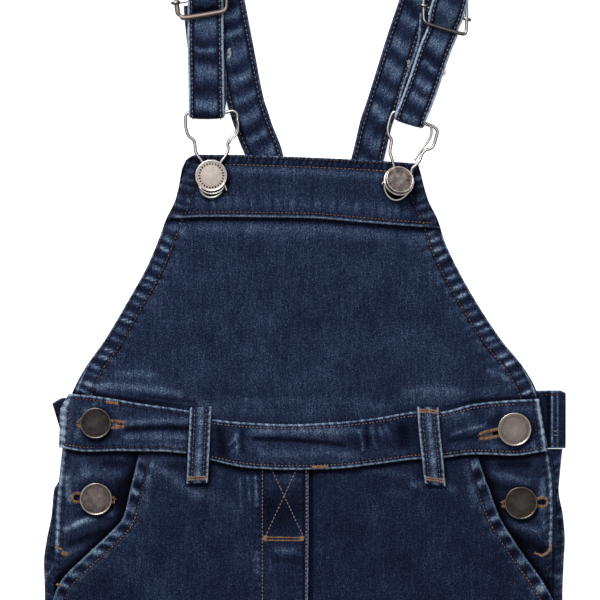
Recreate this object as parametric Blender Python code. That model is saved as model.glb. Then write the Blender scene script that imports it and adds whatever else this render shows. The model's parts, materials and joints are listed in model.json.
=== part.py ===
"""Kids dungarees, laid flat on their back with the front up.

Everything is worked out in millimetres: x across the garment, y up the garment from the seam between
the front waistband and the legs, z out of the front. The tables give the cut pieces as laid, a row for
each section. At the end the whole garment is moved so that its origin is the centre of its base.
"""
import math

import bpy
import numpy as np

for old in list(bpy.data.objects):
    bpy.data.objects.remove(old, do_unlink=True)

# Driving sizes, in millimetres
legLength = 530.0         # waist seam down to the hems
crotchDepth = 158.0       # waist seam down to the crotch
cloth = 1.2               # one layer of denim
doubled = 2.0             # two pressed layers, as in a waistband
turned = 0.8              # what a turned hem adds to its panel
hemDepth = 18.0           # height of the hems at the foot of the legs
mouthHem = 9.0            # width of the hem along a pocket's mouth
bibHem = 9.5              # width of the hems down the bib's sides
flyWidth = 24.0           # width of the mock fly, on the left front
tuck = 7.0                # how far the bib runs on under the waistband
gap = 0.3                 # clearance between pieces that touch
strapWidth = 20.0
strapThick = 2.2
shoulderTop = 314.0       # height of the shoulder fold's axis
buttonWidth = 17.5
shankWidth = 3.2
slotWidth = 3.8
wireWidth = 1.7
buttonSlot = 20.0         # length of a buttonhole
loopWidth = 11.6
loopThick = 1.6
sliderHeight = 21.0
barOffset = 9.0           # adjuster's cross bar above its lower bar
mm = 0.001

denimColour = (0.035, 0.055, 0.13)
steelColour = (0.52, 0.50, 0.47)
buttonColour = (0.23, 0.21, 0.19)


# Tables and curves

def table(names, rows):
    """Named columns from rows of numbers, sorted by the first column."""
    values = np.array(sorted(rows), dtype=float)
    return dict(zip(names.split(), values.T))


def read(columns, name, at):
    """A column's value at places along the table's first column, straight between its rows."""
    first = next(iter(columns))
    return np.interp(at, columns[first], columns[name])


def smooth(start, end, value):
    """0 before start, 1 after end, with an S-shaped step between them."""
    step = np.clip((value - start) / (end - start), 0.0, 1.0)
    return step * step * (3.0 - 2.0 * step)


def mix(low, high, share):
    return low + (high - low) * share


def stations(columns, count):
    """Places along a table's first column: its own rows, with more between them up to about count."""
    first = next(iter(columns.values()))
    step = (first[-1] - first[0]) / count
    places = [first[0]]
    for low, high in zip(first[:-1], first[1:]):
        parts = max(1, round((high - low) / step))
        places.extend(mix(low, high, part / parts) for part in range(1, parts + 1))
    return np.array(places)


# The garment's sections

bibSides = table("y left right middle edge", [
    # height, left edge, right edge, height of the cloth's back in the middle and at the edges
    (171, -63.5, 59.5, 2.7, 1.0),
    (162, -66.0, 62.0, 2.7, 1.0),
    (146, -70.0, 66.5, 3.1, 0.8),
    (135, -75.5, 72.0, 4.2, 0.8),
    (124, -79.5, 75.5, 4.4, 0.8),
    (108, -86.5, 83.0, 4.4, 0.8),
    (92, -95.5, 92.0, 3.4, 0.8),
    (70, -108.5, 106.5, 3.0, 1.2),
    (56, -118.0, 117.5, 3.2, 2.6),
    (42, -123.6, 124.2, 3.6, 3.7),
    (26, -127.6, 128.0, 3.6, 3.7),
    (14, -128.0, 128.5, 3.6, 3.7),
])
bandEdges = table("x seam top", [
    (-76, 136.0, 163.0),
    (-64, 136.2, 166.8),
    (-60, 136.4, 169.8),
    (-55, 136.6, 170.6),
    (0, 136.0, 169.0),
    (34, 133.4, 167.4),
    (60, 131.4, 165.8),
    (73, 130.6, 164.6),
])
waistband = table("x bottom top back", [
    # place, lower edge, upper edge, height of its back above the floor
    (-132.0, 12.0, 41.4, 5.3),
    (-117.0, 9.8, 40.3, 5.3),
    (-100.0, 10.3, 37.9, 5.6),
    (-94.0, 10.2, 36.9, 6.5),
    (-88.0, 10.2, 35.9, 7.0),
    (-80.0, 10.1, 34.8, 7.1),
    (-61.5, 8.6, 31.9, 7.1),
    (-49.0, 4.9, 27.5, 6.6),
    (-30.0, 1.1, 25.6, 5.6),
    (-8.0, 0.1, 24.8, 5.7),
    (15.0, 0.6, 25.8, 5.4),
    (40.0, 3.3, 28.4, 5.6),
    (60.5, 5.9, 31.6, 7.0),
    (72.0, 6.4, 31.6, 7.1),
    (91.0, 8.5, 35.8, 7.0),
    (97.0, 8.4, 36.6, 6.5),
    (103.0, 8.1, 37.1, 5.6),
    (112.0, 7.7, 37.7, 5.3),
    (131.0, 10.3, 38.5, 5.3),
])
waistSkew = {-1: 1.2, 1: -4.6}     # how far the top of each end leans from the bottom of it

frontLeg = table("y left right leftInner rightInner seam outer crown", [
    # height, outer edges, inner edges, height of the back at the inner and outer edge and its rise between
    (17, 88.0, 91.0, 2.0, -6.0, 2.2, 5.3, 0.3),
    (7, 90.2, 93.5, 2.0, -6.0, 2.2, 5.3, 0.3),
    (-13, 95.0, 100.5, 2.0, -6.0, 2.2, 5.3, 0.4),
    (-25, 98.0, 105.0, 2.0, -6.0, 2.2, 5.7, 0.5),
    (-36, 107.5, 111.5, 2.0, -6.0, 2.2, 6.0, 0.6),
    (-45, 117.2, 117.6, 1.9, -6.0, 2.2, 5.7, 0.7),
    (-62, 133.0, 129.5, 1.8, -6.0, 2.2, 4.7, 0.8),
    (-72, 136.4, 134.5, 1.7, -6.0, 2.2, 3.4, 1.0),
    (-90, 137.0, 136.0, 1.6, -6.0, 2.0, 1.8, 1.4),
    (-125, 138.5, 138.0, 1.4, -6.0, 2.0, 1.6, 1.8),
    (-150, 139.5, 139.0, 0.6, -4.0, 1.8, 1.6, 2.0),
    (-154, 139.5, 139.1, 0.2, -2.0, 1.7, 1.6, 2.0),
    (-158, 139.5, 139.2, -0.4, 0.4, 1.7, 1.6, 2.0),
    (-168, 139.4, 139.2, -5.0, 5.0, 1.6, 1.6, 2.0),
    (-195, 138.5, 138.5, -11.0, 11.0, 1.6, 1.6, 2.0),
    (-250, 135.5, 136.0, -16.0, 16.0, 1.6, 1.6, 2.2),
    (-330, 132.0, 133.0, -20.0, 20.0, 1.6, 1.6, 2.0),
    (-430, 130.5, 131.5, -22.0, 22.0, 1.6, 1.6, 1.6),
    (-510, 130.0, 131.0, -22.0, 22.0, 2.2, 2.2, 1.2),
    (-530, 130.0, 131.0, -22.0, 22.0, 2.4, 2.4, 0.8),
])
backLeg = table("y left right inner", [
    (11.2, 131.5, 139.5, 0.15),
    (-4, 132.5, 138.0, 0.15),
    (-11, 136.0, 137.5, 0.15),
    (-25, 137.4, 139.8, 0.15),
    (-38, 140.0, 140.8, 0.15),
    (-50, 141.5, 140.2, 0.15),
    (-70, 141.0, 139.5, 0.15),
    (-125, 143.0, 142.0, 0.15),
    (-158, 144.0, 144.0, 0.15),
    (-168, 144.0, 144.0, 4.0),
    (-195, 143.0, 143.2, 10.0),
    (-250, 139.5, 140.5, 15.0),
    (-330, 135.5, 136.5, 19.0),
    (-430, 134.0, 135.0, 21.0),
    (-510, 133.5, 134.5, 21.0),
    (-530, 133.5, 134.5, 21.0),
])
sidePanel = table("y left right leftInner rightInner back", [
    (17, 130.6, 130.5, 75.0, 78.0, 3.4),
    (-9, 133.4, 133.6, 75.0, 78.0, 3.4),
    (-25, 134.5, 134.0, 77.0, 82.0, 3.4),
    (-41, 135.0, 133.6, 84.0, 90.0, 3.3),
    (-61, 136.0, 133.8, 98.0, 103.0, 2.6),
    (-72, 136.2, 134.0, 112.0, 114.0, 1.7),
])
sideExtension = table("y left right inner", [
    (10.8, 131.4, 133.0, 94.0),
    (-10, 133.8, 135.6, 94.0),
    (-42, 137.6, 136.4, 98.0),
])
backBib = table("y left right", [
    (39.6, -66.0, 70.0),
    (60, -50.0, 54.0),
    (90, -34.0, 39.0),
    (126, -27.0, 33.0),
])

# Soft folds that the laid cloth keeps: from one end to the other, with a rise or a fall and a width
folds = [
    # x1, y1, x2, y2, rise, width
    (-84, 4, -62, -14, 0.9, 6.0),
    (-52, -16, -14, -52, -0.5, 16.0),
    (-96, -48, -60, -82, 0.7, 12.0),
    (60, -20, 88, -78, 0.6, 14.0),
    (24, -14, 52, -40, 0.5, 12.0),
    (-110, -150, -30, -176, 0.9, 14.0),
    (110, -146, 34, -180, 0.9, 14.0),
    (-120, -200, -60, -290, 0.7, 20.0),
    (118, -210, 62, -300, 0.7, 20.0),
    (-114, -322, -44, -342, 0.9, 12.0),
    (112, -332, 46, -318, 0.9, 12.0),
    (-112, -356, -52, -350, 0.6, 10.0),
    (108, -362, 50, -354, 0.6, 10.0),
    (-100, -480, -46, -472, 0.6, 12.0),
    (104, -470, 52, -482, 0.6, 12.0),
    (-96, 48, 84, 46, 0.7, 10.0),
    (-60, 96, -10, 74, 0.5, 16.0),
    (66, 88, 22, 66, 0.5, 16.0),
]


def relief(x, y):
    """The sum of the soft folds: each a rounded ridge or trough that fades out at its two ends."""
    total = np.zeros(np.broadcast(x, y).shape)
    for x1, y1, x2, y2, rise, width in folds:
        length = math.hypot(x2 - x1, y2 - y1)
        along = ((x - x1) * (x2 - x1) + (y - y1) * (y2 - y1)) / length
        across = ((y - y1) * (x2 - x1) - (x - x1) * (y2 - y1)) / length
        begun = smooth(-0.5 * width, 0.6 * width, along)
        ended = smooth(length - 0.6 * width, length + 0.5 * width, along)
        total += rise * np.exp(-(across / width) ** 2) * begun * (1.0 - ended)
    return total


def bibBack(x, y):
    """Height of the bib's back: over the straps in the middle, nearly on the floor at the edges."""
    left, right = read(bibSides, "left", y), read(bibSides, "right", y)
    share = np.abs(2.0 * (x - left) / (right - left) - 1.0)
    height = mix(read(bibSides, "middle", y), read(bibSides, "edge", y), smooth(0.55, 1.0, share))
    return height + np.maximum(relief(x, y), 0.0) * (1.0 - smooth(0.7, 1.0, share)) * smooth(30, 50, y)


def legBack(x, y, side):
    """Height of a front leg's back: from the centre seam out over the side panel, then down to the side."""
    outer = read(frontLeg, "left" if side < 0 else "right", y)
    inner = read(frontLeg, "leftInner" if side < 0 else "rightInner", y)
    inner = -inner if side < 0 else inner
    share = np.clip((side * x - inner) / (outer - inner), 0.0, 1.0)
    height = mix(read(frontLeg, "seam", y), read(frontLeg, "outer", y), smooth(0.3, 0.7, share))
    height = height + 4.0 * share * (1.0 - share) * read(frontLeg, "crown", y)
    clearOfEdges = smooth(0.0, 0.2, share) * (1.0 - smooth(0.85, 1.0, share))
    return height + np.maximum(relief(x, y), -0.5) * clearOfEdges


# Making objects

def material(name, colour, roughness, metallic):
    made = bpy.data.materials.new(name)
    made.use_nodes = True
    shader = made.node_tree.nodes["Principled BSDF"]
    shader.inputs["Base Color"].default_value = (*colour, 1.0)
    shader.inputs["Roughness"].default_value = roughness
    shader.inputs["Metallic"].default_value = metallic
    return made


def addObject(name, points, faces, finish):
    """One named object from points in millimetres, with its own material."""
    mesh = bpy.data.meshes.new(name)
    mesh.from_pydata([tuple(point * mm) for point in points], [], faces)
    mesh.materials.append(material(name, *finish))
    made = bpy.data.objects.new(name, mesh)
    bpy.context.scene.collection.objects.link(made)
    return made


denim = (denimColour, 0.85, 0.0)
steel = (steelColour, 0.35, 1.0)
antique = (buttonColour, 0.45, 1.0)


def wall(name, x, y, back, thick):
    """A closed wall over a grid: rows run up the garment, columns run from left to right."""
    rows, columns = x.shape
    back = np.broadcast_to(back, x.shape)
    face = back + thick
    points = np.concatenate([
        np.stack([x, y, face], axis=-1).reshape(-1, 3),
        np.stack([x, y, back], axis=-1).reshape(-1, 3),
    ])
    number = np.arange(rows * columns).reshape(rows, columns)
    under = number + rows * columns
    faces = []
    for i in range(rows - 1):
        for j in range(columns - 1):
            corner = number[i, j], number[i, j + 1], number[i + 1, j + 1], number[i + 1, j]
            faces.append([int(n) for n in corner])
            faces.append([int(n) + rows * columns for n in reversed(corner)])
    rim = [*number[0, :-1], *number[:-1, -1], *number[-1, :0:-1], *number[:0:-1, 0]]
    low = [*under[0, :-1], *under[:-1, -1], *under[-1, :0:-1], *under[:0:-1, 0]]
    for here in range(len(rim)):
        after = (here + 1) % len(rim)
        faces.append([int(low[here]), int(low[after]), int(rim[after]), int(rim[here])])
    return addObject(name, points, faces, denim)


def spread(count, ends=0.0):
    """Shares from 0 to 1 for a grid's columns, with a narrow column at each edge where ends isn't 0."""
    inside = np.linspace(ends, 1.0 - ends, count)
    return np.concatenate([[0.0], inside, [1.0]]) if ends else inside


def ribbon(name, path, turns, widths, thick, finish=denim):
    """A flat band along a path: its width lies at the turn angle in x and y, its thickness across both."""
    path = np.asarray(path, dtype=float)
    turns = np.radians(np.asarray(turns, dtype=float))
    half = 0.5 * np.asarray(widths, dtype=float)[:, None]
    wide = np.stack([np.cos(turns), np.sin(turns), np.zeros_like(turns)], axis=1)
    along = np.gradient(path, axis=0)
    along /= np.linalg.norm(along, axis=1)[:, None]
    up = np.cross(wide, along)
    up /= np.linalg.norm(up, axis=1)[:, None]
    lift = 0.5 * thick * up
    reach = half * wide
    corners = [path - reach + lift, path + reach + lift, path + reach - lift, path - reach - lift]
    points = np.stack(corners, axis=1).reshape(-1, 3)
    count = len(path)
    faces = [[3, 2, 1, 0], [4 * count - 4, 4 * count - 3, 4 * count - 2, 4 * count - 1]]
    for i in range(count - 1):
        for j in range(4):
            k = (j + 1) % 4
            faces.append([4 * i + j, 4 * i + k, 4 * i + 4 + k, 4 * i + 4 + j])
    return addObject(name, points, faces, finish)


def tube(name, path, radii, closed, sides=8):
    """A round wire along a path, closed into a loop or with flat ends."""
    path = np.asarray(path, dtype=float)
    count = len(path)
    if closed:
        along = np.roll(path, -1, axis=0) - np.roll(path, 1, axis=0)
    else:
        along = np.gradient(path, axis=0)
    along /= np.linalg.norm(along, axis=1)[:, None]
    plane = np.array([0.0, 0.0, 1.0]) if np.abs(along[:, 2]).max() < 0.7 else np.array([0.0, 1.0, 0.0])
    first = np.cross(along, plane)
    first /= np.linalg.norm(first, axis=1)[:, None]
    second = np.cross(along, first)
    angles = 2.0 * math.pi * (np.arange(sides) + 0.5) / sides
    radii = np.broadcast_to(np.asarray(radii, dtype=float), (count,))[:, None, None]
    cosines, sines = np.cos(angles)[None, :, None], np.sin(angles)[None, :, None]
    ring = cosines * first[:, None, :] + sines * second[:, None, :]
    points = (path[:, None, :] + radii * ring).reshape(-1, 3)
    faces = []
    for i in range(count if closed else count - 1):
        following = (i + 1) % count
        for j in range(sides):
            k = (j + 1) % sides
            faces.append([sides * i + j, sides * i + k, sides * following + k, sides * following + j])
    if not closed:
        faces.append(list(range(sides - 1, -1, -1)))
        faces.append([sides * (count - 1) + j for j in range(sides)])
    return addObject(name, points, faces, steel)


def turnedPiece(name, centre, profile, segments=24):
    """A piece turned about an upright axis: profile rows are radius and height, from the axis at the
    bottom round the outside to the axis at the top."""
    angles = 2.0 * math.pi * np.arange(segments) / segments
    points = [np.array([centre[0], centre[1], profile[0][1]])]
    for radius, height in profile[1:-1]:
        for angle in angles:
            x, y = centre[0] + radius * math.cos(angle), centre[1] + radius * math.sin(angle)
            points.append(np.array([x, y, height]))
    points.append(np.array([centre[0], centre[1], profile[-1][1]]))
    rings = len(profile) - 2
    last = len(points) - 1
    faces = []
    for j in range(segments):
        k = (j + 1) % segments
        faces.append([0, 1 + k, 1 + j])
        faces.append([last, last - segments + j, last - segments + k])
        for i in range(rings - 1):
            low, high = 1 + i * segments, 1 + (i + 1) * segments
            faces.append([low + j, low + k, high + k, high + j])
    return addObject(name, points, faces, antique)


def turnInPlane(across, along, centre, degrees):
    """Points given across and along a piece's own axis, turned anticlockwise and put at its centre."""
    angle = math.radians(degrees)
    across, along = np.asarray(across, dtype=float), np.asarray(along, dtype=float)
    x = centre[0] + across * math.cos(angle) - along * math.sin(angle)
    y = centre[1] + across * math.sin(angle) + along * math.cos(angle)
    return x, y


def cutSlot(piece, name, centre, length, low, high):
    """Cuts a round-ended buttonhole right through a piece, with a hidden cutter."""
    radius = 0.5 * slotWidth
    outline = []
    for end in (1, -1):
        for step in range(5):
            angle = math.radians(-90 + 45 * step) + (0.0 if end > 0 else math.pi)
            shift = end * (0.5 * length - radius)
            x, y = centre[0] + shift + radius * math.cos(angle), centre[1] + radius * math.sin(angle)
            outline.append((x, y))
    count = len(outline)
    points = [np.array([x, y, z]) for z in (low, high) for x, y in outline]
    faces = [list(range(count - 1, -1, -1)), list(range(count, 2 * count))]
    for i in range(count):
        j = (i + 1) % count
        faces.append([i, j, count + j, count + i])
    cutter = addObject(name, points, faces, denim)
    cutter.hide_render = True
    cutter.display_type = "WIRE"
    cut = piece.modifiers.new("buttonhole", "BOOLEAN")
    cut.operation = "DIFFERENCE"
    cut.object = cutter


# Bib

def makeBib():
    high = 142.0                                       # the cut top edge, inside the band
    shares = spread(17, 0.055)
    foot = 26.0
    heights = stations(bibSides, 18)
    heights = heights[(heights > foot + 8.0) & (heights < high)]
    heights = np.concatenate([[foot], heights, [high]])
    y = np.repeat(heights[:, None], len(shares), axis=1)
    left, right = read(bibSides, "left", y), read(bibSides, "right", y)
    x = mix(left, right, shares)
    lowEdge = read(waistband, "top", x) - tuck
    y = y + (lowEdge - foot) * (1.0 - smooth(foot, foot + 36.0, y))
    hem = 1.0 - smooth(0.0, bibHem, np.minimum(x - left, right - x))
    hem = hem * smooth(44, 52, y) * (1.0 - smooth(122, 129, y))
    wall("front_bib", x, y, bibBack(x, y), cloth + turned * hem)


def makeBand():
    shares = spread(17, 0.035)
    levels = np.array([0.0, 0.12, 0.5, 0.88, 1.0])
    middle = mix(-74.0, 71.5, shares)
    x, y = np.zeros((len(levels), len(shares))), np.zeros((len(levels), len(shares)))
    for i, level in enumerate(levels):
        height = mix(read(bandEdges, "seam", middle), read(bandEdges, "top", middle), level)
        x[i] = mix(read(bibSides, "left", height), read(bibSides, "right", height), shares)
        y[i] = mix(read(bandEdges, "seam", x[i]), read(bandEdges, "top", x[i]), level)
    wall("bib_top_band", x, y, bibBack(x, y) + cloth + gap, doubled)


# Waist

def makeWaistband():
    places = stations(waistband, 36)
    levels = np.array([0.0, 0.14, 0.5, 0.86, 1.0])[:, None]
    y = mix(read(waistband, "bottom", places), read(waistband, "top", places), levels)
    end = np.where(places < 0, waistSkew[-1], waistSkew[1]) * smooth(95, 131, np.abs(places))
    x = places + levels * end
    crown = 0.25 * np.sin(math.pi * levels)
    between = smooth(-100, -86, places) * (1 - smooth(62, 90, places))
    trough = -0.5 * np.exp(-((levels - 0.42) / 0.16) ** 2) * between
    return wall("front_waistband", x, y, read(waistband, "back", x), doubled + crown + trough)


def makeBackWaistband():
    """One band: flat across the back, then folded forwards at both sides as the button stand."""
    lower, upper = 0.7, 2.5
    radius = 0.5 * (upper - lower)
    thick = 1.4
    back = table("x middle width", [
        (-136.5, 25.2, 27.4),
        (-100, 25.2, 27.4),
        (60, 25.2, 27.4),
        (100, 26.4, 29.8),
        (141.5, 27.4, 31.6),
    ])
    left, right = -135.4, 139.6
    flat = np.linspace(left, right, 14)
    arc = np.radians(np.linspace(30, 150, 5))
    leftFold = [(left - radius * math.sin(a), lower + radius - radius * math.cos(a)) for a in arc]
    rightFold = [(right + radius * math.sin(a), lower + radius - radius * math.cos(a)) for a in arc]
    places = [(-100.5, upper), (left, upper)] + leftFold[::-1] + [(x, lower) for x in flat]
    places += rightFold + [(right, upper), (100.5, upper)]
    x, z = np.array(places).T
    middle = read(back, "middle", x)
    half = 0.5 * read(back, "width", x)[:, None]
    lean = 0.3 * (1.0 - smooth(-136.0, -118.0, x))[:, None]     # the left fold leans in at its lower edge
    path = np.stack([x, middle, z], axis=1)
    along = np.gradient(path, axis=0)
    along[:, 1] = 0.0
    along /= np.linalg.norm(along, axis=1)[:, None]
    lift = 0.5 * thick * np.cross(along, [[0.0, 1.0, 0.0]])
    reach = half * np.concatenate([-lean, np.ones_like(lean), np.zeros_like(lean)], axis=1)
    path[:, 0] += (half * lean)[:, 0]
    corners = [path - reach + lift, path + reach + lift, path + reach - lift, path - reach - lift]
    points = np.stack(corners, axis=1).reshape(-1, 3)
    count = len(path)
    faces = [[0, 1, 2, 3], [4 * count - 1, 4 * count - 2, 4 * count - 3, 4 * count - 4]]
    for i in range(count - 1):
        for j in range(4):
            k = (j + 1) % 4
            faces.append([4 * i + 4 + j, 4 * i + 4 + k, 4 * i + k, 4 * i + j])
    addObject("back_waistband", points, faces, denim)


def makeBackBib():
    heights = stations(backBib, 5)[:, None]
    shares = spread(5)
    x = mix(read(backBib, "left", heights), read(backBib, "right", heights), shares)
    y = np.broadcast_to(heights, x.shape)
    wall("back_bib", x, y, 0.0, cloth)


# Legs

def makeFrontLeg(name, side):
    heights = stations(frontLeg, 34)[:, None]
    shares = spread(11, 0.07)
    outer = side * read(frontLeg, "left" if side < 0 else "right", heights)
    inner = read(frontLeg, "leftInner" if side < 0 else "rightInner", heights)
    x = mix(outer, inner, shares) if side < 0 else mix(inner, outer, shares)
    y = np.broadcast_to(heights, x.shape)
    back = legBack(x, y, side)
    thick = np.full(x.shape, cloth)
    mouth = (1.0 - smooth(0.0, mouthHem, np.abs(outer - x))) * smooth(-80, -66, y) * (1.0 - smooth(2, 7, y))
    hem = 1.0 - smooth(-2.0, 2.0, y - hemDepth + legLength)
    thick = thick + turned * np.maximum(mouth, hem)
    if side < 0:
        # the mock fly: this leg is folded under along the centre seam and laps over the other one
        fly = smooth(-2.0, 2.0, x + flyWidth) * smooth(-crotchDepth, -crotchDepth + 16, y)
        lap = cloth + gap + 0.5
        back = back + lap * smooth(-14, -9, x) * smooth(-crotchDepth - 4.0, -crotchDepth + 1.0, y)
        thick = thick + 0.6 * fly * (1.0 - smooth(-14, -9, x))
    wall(name, x, y, back, thick)


def makeBackLeg(name, side):
    heights = stations(backLeg, 16)[:, None]
    shares = spread(6)
    outer = side * read(backLeg, "left" if side < 0 else "right", heights)
    inner = side * read(backLeg, "inner", heights)
    x = mix(outer, inner, shares) if side < 0 else mix(inner, outer, shares)
    y = np.broadcast_to(heights, x.shape)
    hem = 1.0 - smooth(-2.0, 2.0, y - hemDepth + legLength)
    wall(name, x, y, 0.0, cloth + 0.6 * hem)


def makeSidePanel(name, side):
    heights = stations(sidePanel, 12)[:, None]
    shares = spread(7, 0.08)
    outer = side * read(sidePanel, "left" if side < 0 else "right", heights)
    inner = side * read(sidePanel, "leftInner" if side < 0 else "rightInner", heights)
    x = mix(outer, inner, shares) if side < 0 else mix(inner, outer, shares)
    y = np.broadcast_to(heights, x.shape)
    edge = (1.0 - smooth(0.0, 5.0, np.abs(x - outer))) * smooth(-46, -40, y) * (1.0 - smooth(0, 8, y))
    return wall(name, x, y, read(sidePanel, "back", y), cloth + 0.4 * edge)


def makeSideExtension(name, side):
    heights = stations(sideExtension, 4)[:, None]
    shares = spread(3)
    outer = side * read(sideExtension, "left" if side < 0 else "right", heights)
    inner = side * read(sideExtension, "inner", heights)
    x = mix(outer, inner, shares) if side < 0 else mix(inner, outer, shares)
    y = np.broadcast_to(heights, x.shape)
    wall(name, x, y, cloth + gap, cloth)


# Straps and their metal

strapLayers = {"back": 1.1, "under": 3.6, "front": 6.1}
clipHeight = 35.0         # the clip's top bar above its button
clipLoop = table("along half", [
    # the clip's half width, from the foot of its loop up to its top bar
    (-12.7, 0.0), (-11.9, 2.9), (-9.4, 5.6), (-5.0, 7.2), (0.5, 7.2), (5.0, 5.6), (7.8, 4.7), (11.2, 7.3),
    (14.0, 8.8), (18.2, 9.3), (21.6, 12.6), (24.4, 13.9), (32.6, 14.1), (34.6, 13.2), (35.0, 11.5),
    (clipHeight + 0.01, 0.0),
])
clipRise = table("along z", [(-13, 7.5), (8, 7.5), (16, 6.6), (24, 6.0), (36, 5.85)])
sides = {
    # button, tilt of the clip, middle of the adjuster's lower bar, half its width and the slope of its bars,
    # and where the strap's middle passes the lower bar and how it leans there
    "left": {"button": (-50.5, 158.8), "clipTilt": 0.0, "slider": (-56.0, 245.4), "sliderHalf": 13.6,
             "slope": 0.17, "strapAtBar": -53.7, "lean": 0.0},
    "right": {"button": (51.3, 156.6), "clipTilt": -13.0, "slider": (75.5, 238.0), "sliderHalf": 11.5,
              "slope": -0.3, "strapAtBar": 74.2, "lean": 0.12},
}
strapRuns = {
    # back: x, y, height and turn, from the sewn end to the shoulder; front and clipEnd: x, y and turn;
    # onClip is the strap's place along the clip's bar, peek how far its returning end shows at the side
    "left": {
        "back": [
            (-5.0, 112.0, 2.65, 22), (-10.6, 128.0, 2.65, 22), (-16.0, 142.0, 1.1, 23),
            (-22.1, 170.6, 1.1, 22), (-27.4, 184.0, 1.1, 18), (-31.4, 196.0, 1.1, 14),
            (-37.8, 228.0, 1.1, 11), (-42.7, 254.0, 1.1, 9), (-48.6, 286.0, 1.1, 7),
            (-52.8, shoulderTop, 1.1, 2),
        ],
        "front": [(-53.7, shoulderTop, 0), (-53.7, 290.0, 0), (-53.7, 270.0, 0)],
        "clipEnd": [(-53.7, 232.0, 0), (-53.3, 206.0, 0)],
        "backWidth": strapWidth,
        "wrapWidth": 19.5,
        "onClip": -2.6,
        "peek": -1.8,
    },
    "right": {
        "back": [
            (19.0, 112.0, 2.65, -15), (23.2, 128.0, 2.65, -15), (27.0, 142.0, 1.1, -16),
            (34.4, 170.1, 1.1, -15), (37.8, 184.1, 1.1, -15), (44.2, 204.7, 1.1, -17),
            (53.2, 233.8, 1.1, -17), (60.0, 254.0, 1.1, -18), (70.0, 286.0, 1.1, -16),
            (77.4, shoulderTop, 1.1, -12),
        ],
        "front": [(79.0, shoulderTop, -8), (78.2, 292.0, -4), (77.2, 270.0, -3)],
        "clipEnd": [(70.6, 228.0, -17), (62.8, 205.0, -16)],
        "backWidth": 17.4,
        "wrapWidth": 16.8,
        "onClip": -0.9,
        "peek": -4.0,
    },
}


def makeStrap(label):
    """Up from the back bib, over the shoulder fold, down through the adjuster, round the clip and back."""
    run, place = strapRuns[label], sides[label]
    path = [row[:3] for row in run["back"]]
    turns = [row[3] for row in run["back"]]
    widths = [run["backWidth"]] * len(path)
    front, under, back = strapLayers["front"], strapLayers["under"], strapLayers["back"]
    wrapWidth = run["wrapWidth"]

    def add(x, y, z, turn, width):
        path.append((x, y, z))
        turns.append(turn)
        widths.append(width)

    radius = 0.5 * (front - back)
    (x0, y0, _, turn0), (x1, y1, turn1) = run["back"][-1], run["front"][0]
    for step in range(1, 8):
        angle = math.pi * step / 8
        share = step / 8
        x, y = mix(x0, x1, share), mix(y0, y1, share) + radius * math.sin(angle)
        add(x, y, back + radius * (1 - math.cos(angle)), mix(turn0, turn1, share), run["backWidth"])
    for x, y, turn in run["front"]:
        add(x, y, front, turn, mix(run["backWidth"], wrapWidth, 0.5))
    # through the adjuster: over the cross bar, under the lower bar
    tilt = math.degrees(math.atan(place["slope"]))
    overBar = strapLayers["front"] + 2.85
    weave = [(sliderHeight - 1.0, front), (barOffset + 1.6, overBar), (barOffset - 1.4, overBar),
             (1.6, front - 0.05), (-1.6, front - 0.05)]
    barHeight = place["slider"][1] + place["slope"] * (place["strapAtBar"] - place["slider"][0])
    for along, z in weave:
        x = place["strapAtBar"] + place["lean"] * along
        add(x, barHeight + along, z, tilt * (1.0 - 0.6 * max(along, 0.0) / sliderHeight), wrapWidth)
    for x, y, turn in run["clipEnd"]:
        add(x, y, front, turn, wrapWidth)
    # round the clip's top bar
    wrap = 2.25
    clipBar = under + wrap
    clipTurn = place["clipTilt"]
    for degrees in (90, 60, 30, 0, -30, -60, -90):
        angle = math.radians(degrees)
        along = clipHeight - wrap * math.cos(angle)
        x, y = turnInPlane(run["onClip"], along, place["button"], clipTurn)
        add(float(x), float(y), clipBar + wrap * math.sin(angle), clipTurn, wrapWidth)
    # back up under the front run as far as the cross bar
    for x, y, turn in run["clipEnd"][::-1]:
        add(x + run["peek"], y, under, turn, wrapWidth)
    add(place["strapAtBar"] + 0.5 * run["peek"], barHeight + barOffset - 2.5, under, tilt, wrapWidth)
    ribbon("strap_" + label, path, turns, widths, strapThick)


def makeClip(label):
    place = sides[label]
    half, along = clipLoop["half"], clipLoop["along"]
    across = np.concatenate([half, -half[-2:0:-1]])
    along = np.concatenate([along, along[-2:0:-1]])
    x, y = turnInPlane(across, along, place["button"], place["clipTilt"])
    z = read(clipRise, "z", along)
    tube("clip_" + label, np.stack([x, y, z], axis=1), 0.5 * wireWidth, True)


def makeSlider(label):
    place = sides[label]
    half, slope = place["sliderHalf"], place["slope"]
    height = strapLayers["front"] + 2.6
    corner = 2.0
    shape = []
    for cx, cy, start in ((1, 1, 0), (-1, 1, 90), (-1, 0, 180), (1, 0, 270)):
        for step in (0, 45, 90):
            angle = math.radians(start + step)
            inset = (half - corner) * cx
            level = sliderHeight - corner if cy else corner
            shape.append((inset + corner * math.cos(angle), level + corner * math.sin(angle)))
    across, along = np.array(shape).T
    radii = np.where(along < 0.5, 1.25, 0.5 * wireWidth)
    x, y = place["slider"][0] + across, place["slider"][1] + along + slope * across
    tube("slider_" + label, np.stack([x, y, np.full(len(x), height)], axis=1), radii, True)
    # the cross bar runs under the side wires, and its ends hook up round them
    hook = wireWidth + gap
    ends = []
    for degrees in (100, 60, 20, -20, -60, -90):
        angle = math.radians(degrees)
        ends.append((half + hook * math.cos(angle), hook * math.sin(angle)))
    profile = ends + [(-a, b) for a, b in reversed(ends)]
    across, rise = np.array(profile).T
    x, y = place["slider"][0] + across, place["slider"][1] + barOffset + slope * across
    tube("slider_bar_" + label, np.stack([x, y, height + rise], axis=1), 0.5 * wireWidth, False)


# Buttons and loops

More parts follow.
